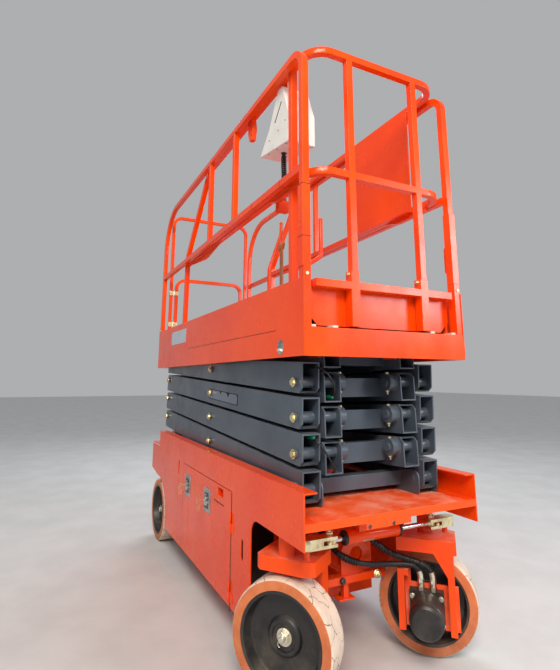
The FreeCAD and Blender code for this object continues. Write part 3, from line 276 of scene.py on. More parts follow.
def rubber(name, colour, shade, rough=0.6, dust=0.35, grain=420.0):
    """Rubber or plastic with a drifting shade, dust and a fine surface grain."""
    made, tree, shader = new_material(name)
    stain = ramp(tree, noise(tree, 12.0, 7.0, 0.65), 0.35, 0.7)
    base = blend_colour(tree, stain, colour, shade)
    dirty = use(tree, DUST_AND_SHADE, Amount=dust, Ground_Height=0.3)["Mask"]
    tree.links.new(blend_colour(tree, dirty, base, rgb(120, 112, 102)), shader.inputs["Base Color"])
    shader.inputs["Roughness"].default_value = rough
    set_bump(tree, shader, noise(tree, grain, 2.0), 0.15, 0.0005)
    return made


def cracked_tread():
    """Pale solid tyre: dark crazing, smears from the ground and a rubbed, dusty surface, with painted shade
    in hidden corners and against the floor.
    """
    made, tree, shader = new_material("tyre_tread", Roughness=0.85)
    spot = add(tree, "TexCoord").outputs["Object"]
    wander = add(tree, "TexNoise", [("Vector", spot), ("Scale", 22.0), ("Detail", 5.0)]).outputs["Color"]
    sway = (0.035, 0.035, 0.035)
    moved = add(tree, "VectorMath", [(0, wander), (1, sway)], operation="MULTIPLY").outputs[0]
    bent = add(tree, "VectorMath", [(0, spot), (1, moved)], operation="ADD").outputs[0]

    def cell_edges(scale):
        links = [("Vector", bent), ("Scale", scale)]
        return add(tree, "TexVoronoi", links, feature="DISTANCE_TO_EDGE").outputs["Distance"]

    broken = ramp(tree, noise(tree, 16.0, 6.0, 0.7), 0.38, 0.52)
    crack = maths(tree, "MULTIPLY", ramp(tree, cell_edges(13.0), 0.022, 0.008), broken)
    crazed_spots = ramp(tree, noise(tree, 9.0, 6.0, 0.7), 0.55, 0.66)
    craze = maths(tree, "MULTIPLY", ramp(tree, cell_edges(46.0), 0.040, 0.015), crazed_spots)
    lines = maths(tree, "MAXIMUM", crack, maths(tree, "MULTIPLY", craze, 0.45))
    stain = ramp(tree, noise(tree, 7.0, 8.0, 0.7), 0.32, 0.72)
    base = blend_colour(tree, stain, rgb(232, 214, 196), rgb(206, 184, 164))
    smear = ramp(tree, noise(tree, 30.0, 8.0, 0.75, (1.0, 1.0, 0.3)), 0.56, 0.74, 0.0, 0.5)
    base = blend_colour(tree, smear, base, rgb(158, 140, 124))
    # darker dirt towards the bottom, and painted shade where the occlusion term finds hidden corners and the
    # floor
    ground = use(tree, DUST_AND_SHADE, Amount=0.55, Ground_Height=0.12)["Mask"]
    base = blend_colour(tree, ground, base, rgb(138, 124, 112))
    tree.links.new(blend_colour(tree, lines, base, rgb(112, 96, 88)), shader.inputs["Base Color"])
    height = maths(tree, "SUBTRACT", maths(tree, "MULTIPLY", noise(tree, 120.0, 5.0, 0.7), 0.4), lines)
    set_bump(tree, shader, height, 0.4, 0.0015)
    return made


ORANGE = painted("orange_paint", rgb(250, 80, 2), rgb(240, 64, 0), rgb(250, 150, 96),
                 rough=0.24, dust=0.14, wear=0.4, coat=0.0, shine=0.38)
# pale dust on upward faces that also stands for their sunlit look: real dust and painted light on the
# knuckles and the deck
SUNLIT_DUSTY_ORANGE = painted("sunlit_dusty_orange_paint", rgb(250, 84, 10), rgb(242, 70, 4), rgb(252, 170, 130),
                       rough=0.45, dust=0.9, wear=0.6, coat=0.0, ground=0.1, dust_colour=rgb(250, 190, 166),
                       shine=0.35)
SLATE = painted("slate_paint", rgb(78, 90, 103), rgb(64, 75, 88), rgb(150, 150, 150), rough=0.34, coat=0.12)
SLATE_STRIP = painted("slate_strip", rgb(106, 118, 136), rgb(86, 97, 113), rgb(160, 160, 160),
                      rough=0.35, wear=0.3)
BLACK_IRON = painted("black_iron_paint", rgb(34, 34, 37), rgb(24, 24, 26), rgb(110, 110, 110),
                     rough=0.4, coat=0.1)
BLANK_PLATE = painted("blank_plate_paint", rgb(196, 204, 214), rgb(182, 192, 204), rgb(120, 124, 130),
                      rough=0.35, dust=0.25, wear=0.3, scratches=0.1)
GOLD_PAINT = painted("gold_lever_paint", rgb(184, 116, 62), rgb(150, 88, 42), rgb(214, 190, 140),
                     rough=0.4, wear=0.8)
CHROME = metal("rod_chrome", rgb(222, 224, 226), rgb(190, 192, 196), rough=0.08, grime_and_shade=0.1)
ZINC = metal("yellow_zinc", rgb(244, 232, 190), rgb(212, 196, 150), rough=0.3)
PALE_ZINC = metal("pale_zinc", rgb(240, 236, 220), rgb(206, 198, 176), rough=0.28)
PLAIN_ZINC = metal("plain_zinc", rgb(206, 206, 206), rgb(160, 160, 162), rough=0.34)
DARK_ZINC = metal("dark_zinc", rgb(104, 100, 96), rgb(74, 70, 68), rough=0.4)
PALE_BRASS = metal("pale_brass", rgb(248, 238, 206), rgb(222, 206, 160), rough=0.3, grime_and_shade=0.1)
DECK_METAL = metal("deck_metal", rgb(150, 150, 152), rgb(120, 120, 122), rough=0.45)
HOSE_RUBBER = rubber("hose_rubber", rgb(34, 34, 36), rgb(22, 22, 24), 0.42)
GUARD_PLASTIC = rubber("guard_plastic", rgb(26, 26, 28), rgb(18, 18, 20), 0.3, dust=0.2)
CORD_RUBBER = rubber("cord_rubber", rgb(20, 20, 21), rgb(13, 13, 14), 0.4, dust=0.15)
PAD_NYLON = rubber("pale_nylon", rgb(226, 220, 208), rgb(206, 198, 184), 0.5, dust=0.3)
NYLON = rubber("black_nylon", rgb(40, 40, 42), rgb(28, 28, 30), 0.5)
# dark joints and slits, and also the painted shadow round the arm's strip and the painted shade in the door's
# edge gap
DARK_GAP_AND_SHADOW = rubber("dark_gap_and_shadow", rgb(40, 24, 20), rgb(26, 18, 16), 0.9, dust=0.0)
GREEN_PLUG = rubber("green_plug", rgb(24, 120, 84), rgb(16, 96, 66), 0.4, dust=0.1)
RED_PLUG = rubber("red_plug", rgb(168, 34, 30), rgb(140, 26, 24), 0.4, dust=0.1)
STOP_RED = rubber("stop_red", rgb(206, 30, 26), rgb(184, 24, 20), 0.3, dust=0.05)
TYRE_BAND = rubber("tyre_band", rgb(216, 126, 78), rgb(196, 104, 60), 0.7, dust=0.6, grain=90.0)
BOX_WHITE = rubber("box_white", rgb(238, 238, 236), rgb(224, 224, 220), 0.4, dust=0.12)
TYRE_TREAD = cracked_tread()

# the finish of each of the record's material slots
FINISH = {
    "orange_paint": ORANGE, "slate_paint": SLATE, "tyre": TYRE_TREAD, "black_cast": BLACK_IRON,
    "chrome": CHROME, "zinc": ZINC, "steel": PLAIN_ZINC, "deck": DECK_METAL, "black_rubber": HOSE_RUBBER,
    "white_box": BOX_WHITE, "black_plastic": NYLON, "nylon": PAD_NYLON,
}


# Mesh making

SHARP_ANGLE = math.radians(32)


def circle(middle, across, other, radius, sides):
    """Points round a circle in the plane of two unit vectors."""
    turns = [math.tau * step / sides for step in range(sides)]
    return [middle + (across * math.cos(turn) + other * math.sin(turn)) * radius for turn in turns]


def square_to(axis):
    """An axis as a unit vector, and two unit vectors square to it."""
    axis = Vector(axis).normalized()
    across = axis.orthogonal().normalized()
    return axis, across, axis.cross(across)


class Shape:
    """The mesh of one visible piece, gathered from turned parts, flat plates, blocks and tubes."""

    def __init__(self):
        self.mesh = bmesh.new()

    def corners(self, spots):
        """New corners of the mesh."""
        return [self.mesh.verts.new(spot) for spot in spots]

    def skin(self, loops, closed=False):
        """Faces between neighbouring loops; a loop of one point closes an end."""
        count = max(len(loop) for loop in loops)
        for lower, upper in zip(loops, loops[1:] + (loops[:1] if closed else [])):
            for i in range(count):
                j = (i + 1) % count
                around = [lower[i % len(lower)], lower[j % len(lower)],
                          upper[j % len(upper)], upper[i % len(upper)]]
                around = list(dict.fromkeys(around))
                if len(around) > 2:
                    self.mesh.faces.new(around)

    def turned(self, rings, spot, axis, sides=32, closed=False):
        """A turned part, from rings of (radius, place along the axis from the spot)."""
        axis, across, other = square_to(axis)
        loops = []
        for radius, along in rings:
            middle = Vector(spot) + axis * along
            loops.append(self.corners(circle(middle, across, other, radius, sides) if radius else [middle]))
        self.skin(loops, closed)

    def slab(self, outline, spot, right, up, thick):
        """A flat plate: its outline in the plane of right and up, thickened along their cross product."""
        right, up = Vector(right).normalized(), Vector(up).normalized()
        out = right.cross(up) * thick
        floor = self.corners(Vector(spot) + right * x + up * y for x, y in outline)
        roof = self.corners(vertex.co + out for vertex in floor)
        for face in (floor[::-1], roof):
            self.mesh.faces.new(face)
        self.skin([floor, roof])

    def block(self, low, high):
        """A block between two opposite corners."""
        (x0, y0, z0), (x1, y1, z1) = low, high
        outline = [(0, 0), (x1 - x0, 0), (x1 - x0, y1 - y0), (0, y1 - y0)]
        self.slab(outline, low, (1, 0, 0), (0, 1, 0), z1 - z0)

    def tube(self, line, radius, sides=12, closed=False):
        """A round bar along a line; radius is a number, or a function of the share of the way."""
        spots = [Vector(spot) for spot in line]
        total = len(spots)
        ahead = []
        for i in range(total):
            before = spots[i - 1] if i or closed else spots[0]
            after = spots[(i + 1) % total] if i + 1 < total or closed else spots[-1]
            ahead.append((after - before).normalized())
        side = ahead[0].orthogonal().normalized()
        loops = []
        for i, (spot, along) in enumerate(zip(spots, ahead)):
            side = (side - along * side.dot(along)).normalized()
            other = along.cross(side)
            reach = radius(i / max(1, total - 1)) if callable(radius) else radius
            loops.append(self.corners(circle(spot, side, other, reach, sides)))
        if not closed:
            loops = [self.corners(spots[:1])] + loops + [self.corners(spots[-1:])]
        self.skin(loops, closed)

    def done(self, name, body, *finishes, bevel=0.0):
        """The shape as a piece of the scene, which rides on its body where one is given."""
        bmesh.ops.recalc_face_normals(self.mesh, faces=self.mesh.faces)
        mesh = bpy.data.meshes.new(name)
        self.mesh.to_mesh(mesh)
        self.mesh.free()
        for finish in finishes:
            mesh.materials.append(finish)
        mesh.shade_smooth()
        mesh.set_sharp_from_angle(angle=SHARP_ANGLE)
        made = bpy.data.objects.new(name, mesh)
        scene.collection.objects.link(made)
        if bevel:
            round_edges(made, bevel)
        if body:
            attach(made, body)
        return made


def round_edges(thing, width):
    """Small rounds along the sharp edges, as paint and pressing leave them."""
    edge = thing.modifiers.new("rounded_edges", "BEVEL")
    edge.width, edge.segments = width, 2
    edge.limit_method, edge.angle_limit = "ANGLE", math.radians(38)
    edge.harden_normals = True


def rounded_plate(width, height, radius, steps=5):
    """The outline of a plate with rounded corners about its middle."""
    outline = []
    for quarter, (a, b) in enumerate(((1, 1), (-1, 1), (-1, -1), (1, -1))):
        for step in range(steps + 1):
            turn = math.pi / 2 * (quarter + step / steps)
            outline.append((a * (width / 2 - radius) + radius * math.cos(turn),
                            b * (height / 2 - radius) + radius * math.sin(turn)))
    return outline


HEXAGON = 6


def enlarge(outline, size):
    """An outline given in shares of a size, at that size."""
    return [(x * size, y * size) for x, y in outline]


def bolt(shape, spot, axis, size, stud=0.0):
    """A hexagon head on its washer, with a stud of thread above it; size is the thread's diameter."""
    shape.turned(enlarge([(0, 0), (1.12, 0), (1.12, 0.16), (0, 0.16)], size), spot, axis, 24)
    head = [(0, 0.16), (0.95, 0.16), (0.95, 0.74), (0.798, 0.86), (0, 0.86)]
    shape.turned(enlarge(head, size), spot, axis, HEXAGON)
    if stud:
        top = 0.86 + stud / size
        thread = [(0, 0.8), (0.5, 0.8), (0.5, top - 0.1), (0.4, top), (0, top)]
        shape.turned(enlarge(thread, size), spot, axis, 16)


def castle_nut(shape, spot, axis, size):
    """A slotted nut, its thread and the split pin through its slots; size is the thread's diameter."""
    axis, across, other = square_to(axis)
    shape.turned(enlarge([(0, 0), (1.25, 0), (1.25, 0.14), (0, 0.14)], size), spot, axis, 28)
    head = [(0, 0.14), (0.893, 0.14), (0.95, 0.2), (0.95, 0.72), (0.817, 0.8), (0, 0.8)]
    shape.turned(enlarge(head, size), spot, axis, HEXAGON)
    tooth = [(0, 0), (0.38, 0), (0.34, 0.34), (0.04, 0.34)]
    for slot in range(HEXAGON):
        turn = math.tau / HEXAGON * (slot + 0.5)
        out = across * math.cos(turn) + other * math.sin(turn)
        flat = axis.cross(out)
        middle = Vector(spot) + axis * size * 0.78 + out * size * 0.5 - flat * size * 0.19
        shape.slab(enlarge(tooth, size), middle, flat, axis, -0.27 * size)
    thread = [(0, 0.7), (0.48, 0.7), (0.48, 1.12), (0.4, 1.22), (0, 1.22)]
    shape.turned(enlarge(thread, size), spot, axis, 18)
    bent_pin = [(-0.95, 0), (0.85, 0), (1.0, 0.25), (0.95, 0.6)]
    hole = Vector(spot) + axis * size * 0.98
    shape.tube([hole + across * size * x + other * size * y for x, y in bent_pin], size * 0.07, 6)


WELD_RADIUS, WELD_STEP = 0.0032, 0.00225


def weld(shape, line):
    """A bead of weld round a closed line, with its scales."""
    fine = []
    for here, there in zip(line, line[1:] + line[:1]):
        steps = max(1, round((there - here).length / WELD_STEP))
        fine += [here.lerp(there, step / steps) for step in range(steps)]

    def uneven(share):
        turn = len(fine) * math.pi * share
        return WELD_RADIUS * (1 + 0.14 * math.cos(turn) + 0.07 * math.sin(2.65 * turn))

    shape.tube(fine, uneven, 6, closed=True)


def ring(middle, radius, axis, steps=36):
    """Points round a circle about an axis."""
    axis, across, other = square_to(axis)
    return circle(Vector(middle), across, other, radius, steps)


def spline(name, route, diameter=0.0):
    """A smooth line with the route's points as its control points."""
    data = bpy.data.curves.new(name, "CURVE")
    data.dimensions = "3D"
    data.bevel_depth = diameter / 2
    data.bevel_resolution = 3
    data.resolution_u = 12
    track = data.splines.new("NURBS")
    track.points.add(len(route) - 1)
    for point, spot in zip(track.points, route):
        point.co = (*spot, 1)
    track.order_u = 3
    track.use_endpoint_u = True
    made = bpy.data.objects.new(name, data)
    scene.collection.objects.link(made)
    return made


def read_line(route):
    """The points of the smooth line through a route."""
    guide = spline("guide_line", route)
    guide.data.resolution_u = 24
    mesh = bpy.data.meshes.new_from_object(guide)
    line = [vertex.co.copy() for vertex in mesh.vertices]
    data = guide.data
    bpy.data.objects.remove(guide)
    bpy.data.curves.remove(data)
    bpy.data.meshes.remove(mesh)
    return line


def measure(line):
    """The length of a line."""
    return sum((there - here).length for here, there in zip(line, line[1:]))


def helix(line, radius, pitch, start, end, steps=12):
    """Points of a spring wound about a line, between two shares of its length, with steps to each turn."""
    total = measure(line)
    turns = total * (end - start) / pitch
    spots = []
    side = (line[1] - line[0]).orthogonal().normalized()
    at, walked, index = start * total, 0.0, 0
    for step in range(round(turns * steps) + 1):
        goal = at + step * pitch / steps
        while index < len(line) - 2 and walked + (line[index + 1] - line[index]).length < goal:
            walked += (line[index + 1] - line[index]).length
            index += 1
        run = line[index + 1] - line[index]
        spot = line[index] + run * min(1, (goal - walked) / run.length)
        along = run.normalized()
        side = (side - along * side.dot(along)).normalized()
        turn = math.tau * step / steps
        spots.append(spot + (side * math.cos(turn) + along.cross(side) * math.sin(turn)) * radius)
    return spots


# Finishes of the frame's own nodes

# knuckles and deck, whose pale tops are dust and painted sunlight
SUNLIT_DUSTY = ("steering_knuckle_left", "steering_knuckle_right", "chassis_deck")
REPLACED = ("arm_base_mounts", "control_cable", "motor_hoses_left", "motor_hoses_right")
SMOOTH_SLOTS = ("chrome", "black_rubber")
TUBES = ("main_rail_left", "main_rail_right", "rear_hoop", "entry_gate", "extension_guard")
FORKS = ("steering_yokes",)
FORK_ROUND, TUBE_ROUND, SHEET_ROUND = 0.0045, 0.0032, 0.0012


def finish_frame():
    """Finishes of the object's own nodes, and a small round along their edges."""
    for part in frame["record"]["subparts"]:
        name, slot = part["node"], part["material_slot"]
        piece = nodes[name]
        piece.data.materials.clear()
        piece.data.materials.append(SUNLIT_DUSTY_ORANGE if name in SUNLIT_DUSTY else FINISH[slot])
        if name in REPLACED or name.endswith(("_rim", "_tyre")) or slot in SMOOTH_SLOTS:
            continue
        joined = piece.modifiers.new("joined_corners", "WELD")
        joined.merge_threshold = 0.00001
        round_edges(piece, FORK_ROUND if name in FORKS else TUBE_ROUND if name in TUBES else SHEET_ROUND)


finish_frame()


# Places that several pieces share

SIDES = {"left": 1, "right": -1}
WHEEL_RADIUS, WHEEL_Y, FRONT_AXLE, REAR_AXLE = 0.203, 0.343, 0.955, -0.949
# how far each front wheel is turned to the machine's left at rest
STEERED = {"left": math.radians(45), "right": math.radians(37)}


# Cords: the motors' hoses, the cables at the arms' front ends and the curly cord of the control box

def knuckle_spot(side, x, y, z):
    """A place on a knuckle, given as if its wheel pointed straight ahead, with y towards the outside."""
    sign = SIDES[side]
    spot = Matrix.Rotation(STEERED[side], 3, "Z") @ Vector((x, y * sign, 0))
    return spot + Vector((FRONT_AXLE, WHEEL_Y * sign, z))


PORT_X, PORT_Y, PORT_TOP, WALL_X = (-0.020, 0.028), -0.110, 0.3133, 0.7103
HOSE = 0.022
GUARD_RADIUS, GUARD_THICKNESS, GUARD_PITCH = HOSE / 2 + 0.0012, 0.0052, 0.0125
# side, port, share of the hose that a spiral guard covers, and the route above the port
HOSE_ROUTES = (
    ("left", 0, (0.50, 0.97), (
        (1.010, 0.241, 0.358), (0.986, 0.205, 0.364), (0.945, 0.140, 0.362), (0.920, 0.060, 0.363),
        (0.906, -0.010, 0.380), (0.902, -0.074, 0.414), (0.830, -0.090, 0.452), (0.760, -0.070, 0.470))),
    ("left", 1, (0.14, 0.90), (
        (1.046, 0.277, 0.356), (1.022, 0.246, 0.374), (0.985, 0.204, 0.386), (0.945, 0.150, 0.404),
        (0.925, 0.090, 0.444), (0.895, 0.050, 0.492), (0.825, 0.032, 0.516), (0.765, 0.030, 0.520))),
    ("right", 0, (0.25, 0.85), (
        (0.871, -0.262, 0.352), (0.866, -0.236, 0.370), (0.858, -0.195, 0.386), (0.832, -0.150, 0.410),
        (0.790, -0.125, 0.426), (0.750, -0.118, 0.430))),
    ("right", 1, (0.25, 0.85), (
        (0.909, -0.234, 0.352), (0.900, -0.207, 0.370), (0.880, -0.165, 0.388), (0.840, -0.122, 0.402),
        (0.795, -0.086, 0.410), (0.750, -0.070, 0.410))),
)
SLEEVE = ((0, -0.015), (0.0142, -0.015), (0.0142, -0.003), (0.0120, 0.001), (0, 0.001))
NECK = ((0, -0.026), (0.0098, -0.026), (0.0098, -0.017), (0, -0.017))
PORT_NUT = ((0, -0.044), (0.0145, -0.044), (0.0145, -0.028), (0.012, -0.026), (0, -0.026))
CRIMP_LENGTH, CRIMP_RADIUS, GLAND_RADIUS, GLAND_LENGTH = 0.030, 0.0130, 0.0185, 0.014


def motor_hose(side, port, guarded, route):
    """A hose from the motor's port to the frame's front wall, with its crimped ends and its spiral guard."""
    start = knuckle_spot(side, PORT_X[port], PORT_Y, PORT_TOP)
    rise = start + Vector((0, 0, 0.018))
    into_wall = (WALL_X, route[-1][1], route[-1][2])
    line = read_line([start, rise, *route, into_wall])
    knuckle = f"{side}_knuckle"
    tube = Shape()
    tube.tube(line, HOSE / 2, 16)
    hose = tube.done(f"motor_hose_{side}_{port + 1}", None, HOSE_RUBBER)
    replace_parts(hose, f"motor_hoses_{side}")
    guard = Shape()
    guard.tube(helix(line, GUARD_RADIUS, GUARD_PITCH, *guarded), GUARD_THICKNESS / 2, 6)
    wrap = guard.done(f"hose_guard_{side}_{port + 1}", None, GUARD_PLASTIC)
    for piece in (hose, wrap):
        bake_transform(piece)
    ends = Shape()
    ends.tube([spot for spot in line if (spot - start).length < CRIMP_LENGTH], CRIMP_RADIUS, 20)
    for profile, sides in ((SLEEVE, HEXAGON), (NECK, 20), (PORT_NUT, HEXAGON)):
        ends.turned(profile, start, (0, 0, 1), sides)
    fitting = ends.done(f"hose_fitting_{side}_{port + 1}", knuckle, PALE_ZINC)
    gland = Shape()
    bore = HOSE / 2 + 0.0004
    gland.turned([(bore, 0), (GLAND_RADIUS, 0), (GLAND_RADIUS, GLAND_LENGTH), (bore, GLAND_LENGTH)],
                 into_wall, (1, 0, 0), HEXAGON, closed=True)
    gland.done(f"wall_gland_{side}_{port + 1}", "chassis", ZINC)


for row in HOSE_ROUTES:
    motor_hose(*row)


CURL, CURL_RADIUS, CURL_PITCH = 0.0068, 0.0102, 0.0094
CURL_ROUTE = ((0.838, -0.296, 2.1745), (0.836, -0.296, 2.1295), (0.830, -0.290, 2.0595),
              (0.838, -0.296, 1.990), (0.838, -0.296, 1.9303))
UPPER_BOOT = ((0, 0), (0.014, 0), (0.014, 0.006), (0.009, 0.010), (0.006, 0.026), (0, 0.026))
LOWER_BOOT = ((0, 0), (0.014, 0), (0.014, 0.008), (0.009, 0.012), (0.006, 0.022), (0, 0.022))


def curly_cord():
    """The control box's curly cord, hanging down to its socket on the guard's middle rail."""
    line = read_line(CURL_ROUTE)
    first_turn, last_turn = 0.05, 0.95
    coil = helix(line, CURL_RADIUS, CURL_PITCH, first_turn, last_turn)
    wound = [line[0], *coil, line[-1]]
    cord = spline("control_curly_cord", wound, CURL)
    cord.data.materials.append(CORD_RUBBER)
    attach(cord, "extension")
    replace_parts(cord, "control_cable")
    boots = Shape()
    boots.turned(UPPER_BOOT, line[0] + Vector((0, 0, 0.006)), (0, 0, -1), 20)
    boots.turned(LOWER_BOOT, line[-1] - Vector((0, 0, 0.004)), (0, 0, 1), 20)
    ends = boots.done("control_cord_glands", "extension", CORD_RUBBER)
    measure(read_line(wound))


curly_cord()


ARM_CABLE = 0.007
# bodies and plugs' finishes at the two ends, and the route from an outer arm's open end to an inner arm's
ARM_CABLES = (
    ("outer_arms_2", "inner_arms_1", GREEN_PLUG, RED_PLUG, (
        (1.010, -0.283, 0.908), (1.050, -0.281, 0.904), (1.084, -0.273, 0.888), (1.092, -0.250, 0.855),
        (1.092, -0.220, 0.812), (1.078, -0.196, 0.776), (1.040, -0.188, 0.767), (1.005, -0.187, 0.768))),
    ("outer_arms_4", "inner_arms_3", CORD_RUBBER, GREEN_PLUG, (
        (1.010, -0.268, 1.174), (1.046, -0.266, 1.172), (1.080, -0.255, 1.164), (1.090, -0.232, 1.146),
        (1.090, -0.206, 1.110), (1.078, -0.192, 1.072), (1.040, -0.188, 1.052), (1.005, -0.187, 1.050))),
)
PLUG = ((0, -0.026), (0.0085, -0.026), (0.0095, -0.022), (0.0095, -0.004), (0.0075, 0.0), (0.0075, 0.012),
        (0.0045, 0.018), (0, 0.018))


def arm_cable(outer, inner, outer_paint, inner_paint, route):
    """A cable that hangs from an outer arm's open end into its neighbour's, with a plug at each end."""
    line = read_line(route)
    tube = Shape()
    tube.tube(line, ARM_CABLE / 2, 10)
    cable = tube.done(f"cable_{outer}", None, CORD_RUBBER)
    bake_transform(cable)
    for body, spot, paint in ((outer, route[1], outer_paint), (inner, route[6], inner_paint)):
        plug = Shape()
        plug.turned(PLUG, Vector(spot) - Vector((0.004, 0, 0)), (1, 0, 0), 12)
        plug.done(f"plug_{outer}_on_{body}", body, paint)


for row in ARM_CABLES:
    arm_cable(*row)


# Wheels

HUB_FACE, BAND_PLACE = 0.0200, 0.0604
# radius and place along the axle: half of the tyre's outline, and the rim from its outer to its inner face
TREAD = ((0.1632, 0.0598), (0.1642, 0.0616), (0.1790, 0.0611), (0.1930, 0.0615), (0.1962, 0.0600),
         (0.1985, 0.0578), (0.2014, 0.0535), (0.2024, 0.0440), (0.2028, 0.0250), (0.2030, 0.0080))
RIM = ((0, HUB_FACE), (0.0430, HUB_FACE), (0.0452, 0.0212), (0.0466, 0.0255), (0.0482, 0.0280),
       (0.0552, 0.0285), (0.0600, 0.0268), (0.0652, 0.0205), (0.0696, 0.0134), (0.0730, 0.0125),
       (0.1355, 0.0125), (0.1410, 0.0140), (0.1446, 0.0186), (0.1500, 0.0530), (0.1518, 0.0585),
       (0.1556, 0.0611), (0.1606, 0.0617), (0.1628, 0.0606), (0.1628, -0.0606), (0.1600, -0.0620),
       (0.1556, -0.0616), (0.1528, -0.0588), (0.1500, -0.0070), (0.1470, -0.0020), (0.0680, -0.0015),
       (0.0636, -0.0040), (0.0602, -0.0205), (0.0585, -0.0214), (0, -0.0214))


def wheel(end, side):
    """Solid tyre with bare tread and painted side bands, dished rim and the castle nut on its axle."""
    sign = SIDES[side]
    front = end == "front"
    middle = Vector((FRONT_AXLE if front else REAR_AXLE, WHEEL_Y * sign, WHEEL_RADIUS))
    out = Matrix.Rotation(STEERED[side] if front else 0, 3, "Z") @ Vector((0, sign, 0))
    body = f"{end}_{side}_wheel"
    tyre = Shape()
    profile = list(TREAD) + [(radius, -place) for radius, place in reversed(TREAD)]
    tyre.turned(profile, middle, out, 96, closed=True)
    for face in tyre.mesh.faces:
        place = (face.calc_center_median() - middle).dot(out)
        face.material_index = 1 if abs(place) > BAND_PLACE else 0
    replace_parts(tyre.done(f"tyre_{end}_{side}", body, TYRE_TREAD, TYRE_BAND), f"{end}_{side}_tyre")
    rim = Shape()
    rim.turned(RIM, middle, out, 80)
    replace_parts(rim.done(f"rim_{end}_{side}", body, BLACK_IRON), f"{end}_{side}_rim")
    nut = Shape()
    castle_nut(nut, middle + out * HUB_FACE, out, 0.024)
    nut.done(f"axle_nut_{end}_{side}", body, PALE_ZINC)


for end in ("front", "rear"):
    for side in SIDES:
        wheel(end, side)


# Steering

MOTOR_BLOCK_END, MOTOR_END = -0.1200, -0.2499
# x and z of the bolts on the motor's block
BLOCK_BOLTS = ((-0.056, 0.247), (0.056, 0.247), (0.058, 0.150), (-0.058, 0.150))
COVER_SCREWS, COVER_RADIUS = 6, 0.043


def motor_fastenings(side):
    """Bolts on the motor's block, and the screws round its end cover."""
    screws = Shape()
    inward = Matrix.Rotation(STEERED[side], 3, "Z") @ Vector((0, -SIDES[side], 0))
    for x, z in BLOCK_BOLTS:
        bolt(screws, knuckle_spot(side, x, MOTOR_BLOCK_END, z), inward, 0.0095)
    screws.done(f"motor_bolts_{side}", f"{side}_knuckle", PALE_ZINC)
    cover = Shape()
    head = [(0, 0), (0.0062, 0), (0.0062, 0.0022), (0.0045, 0.0030), (0, 0.0030)]
    for step in range(COVER_SCREWS):
        turn = math.tau * (step + 0.5) / COVER_SCREWS
        x, z = COVER_RADIUS * math.cos(turn), WHEEL_RADIUS + COVER_RADIUS * math.sin(turn)
        cover.turned(head, knuckle_spot(side, x, MOTOR_END, z), inward, 16)
    cover.done(f"motor_cover_{side}", f"{side}_knuckle", BLACK_IRON)


ROD_X, ROD_Z, ROD_SHIFT = 1.030, 0.522, 0.0556
BARREL_END, BARREL_RADIUS, FORK_TOP, FORK_FACE = 0.1262, 0.0252, 0.0192, 0.0252
FORK_EYE = WHEEL_Y - 0.086
GLAND = ((0.0104, 0), (0.0262, 0), (0.0272, 0.002), (0.0272, 0.0100), (0.0240, 0.0130), (0.0104, 0.0130))


def steering_fittings():
    """Glands of the cylinder, nuts on the forks' pins and the barrel's blank plate."""
    glands, nuts = Shape(), Shape()
    for sign in SIDES.values():
        glands.turned(GLAND, (ROD_X, BARREL_END * sign, ROD_Z), (0, sign, 0), 32, closed=True)
        eye = FORK_EYE * sign + ROD_SHIFT
        castle_nut(nuts, (ROD_X, eye, ROD_Z + FORK_TOP), (0, 0, 1), 0.0155)
        bolt(nuts, (ROD_X + FORK_FACE, eye + 0.012 * sign, ROD_Z), (1, 0, 0), 0.007)
    glands.done("cylinder_glands", "chassis", HOSE_RUBBER)
    nuts.done("fork_nuts", "steer_rod", ZINC)
    badge = Shape()
    plate_turn, plate_length, plate_outside = math.radians(-38), 0.052, 1.035
    turns = [plate_turn + turn for turn in (-0.22, -0.07, 0.07, 0.22)]
    inner = [(BARREL_RADIUS * math.cos(turn), BARREL_RADIUS * math.sin(turn)) for turn in turns]
    arc = inner + enlarge(reversed(inner), plate_outside)
    badge.slab(arc, (ROD_X, -0.005, ROD_Z), (1, 0, 0), (0, 0, 1), plate_length)
    badge.done("barrel_plate", "chassis", PALE_ZINC)


# place, direction, thread and stud of each bolt on the frame's front
FRAME_BOLTS = (
    ((1.1945, -0.134, 0.6065), (1, 0, 0), 0.0085, 0),
    ((1.1945, -0.026, 0.6065), (1, 0, 0), 0.0085, 0),
    ((0.9022, -0.059, 0.3140), (1, 0, 0), 0.012, 0),
    ((0.8620, -0.040, 0.2462), (0, 0, 1), 0.010, 0.004),
    ((0.8620, -0.014, 0.2462), (0, 0, 1), 0.010, 0.004),
)
STOP_BOLT = ((0.9022, 0.116, 0.3145), (1, 0, 0), 0.016, 0.008)


def frame_bolts():
    """Bolts on the frame's front, and the large one that stops the steering."""
    bolts, stop = Shape(), Shape()
    for row in FRAME_BOLTS:
        bolt(bolts, *row)
    bolts.done("frame_bolts", "chassis", DARK_ZINC)
    bolt(stop, *STOP_BOLT)
    stop.done("stop_bolt", "chassis", ZINC)


for side in SIDES:
    motor_fastenings(side)
steering_fittings()
frame_bolts()


# Scissor stack

LEVELS = 4
FRONT_PIN, BASE_PIN, STEP = 1.010, 0.706, 0.135
# distance between an arm's end pins, and their places along the arm and off its middle line
PIN_SPAN, END_PIN, PIN_OFFSET = 2.074, 1.0368, 0.020
REST = math.asin(STEP / PIN_SPAN)
TILT = REST - math.asin(PIN_OFFSET / (PIN_SPAN / 2))
CENTRE_X = FRONT_PIN - PIN_SPAN / 2 * math.cos(REST)
REAR_PIN = FRONT_PIN - PIN_SPAN * math.cos(REST)
INNER_FACE, OUTER_FACE, PIN_HEAD = 0.153, 0.334, 0.343


def inner_arm_spot(level, x, y, z):
    """A place in an inner arm's own frame about its centre pin; these arms rise to the front."""
    return Vector((CENTRE_X + x * math.cos(TILT) - z * math.sin(TILT), y,
                   BASE_PIN + (level - 0.5) * STEP + x * math.sin(TILT) + z * math.cos(TILT)))


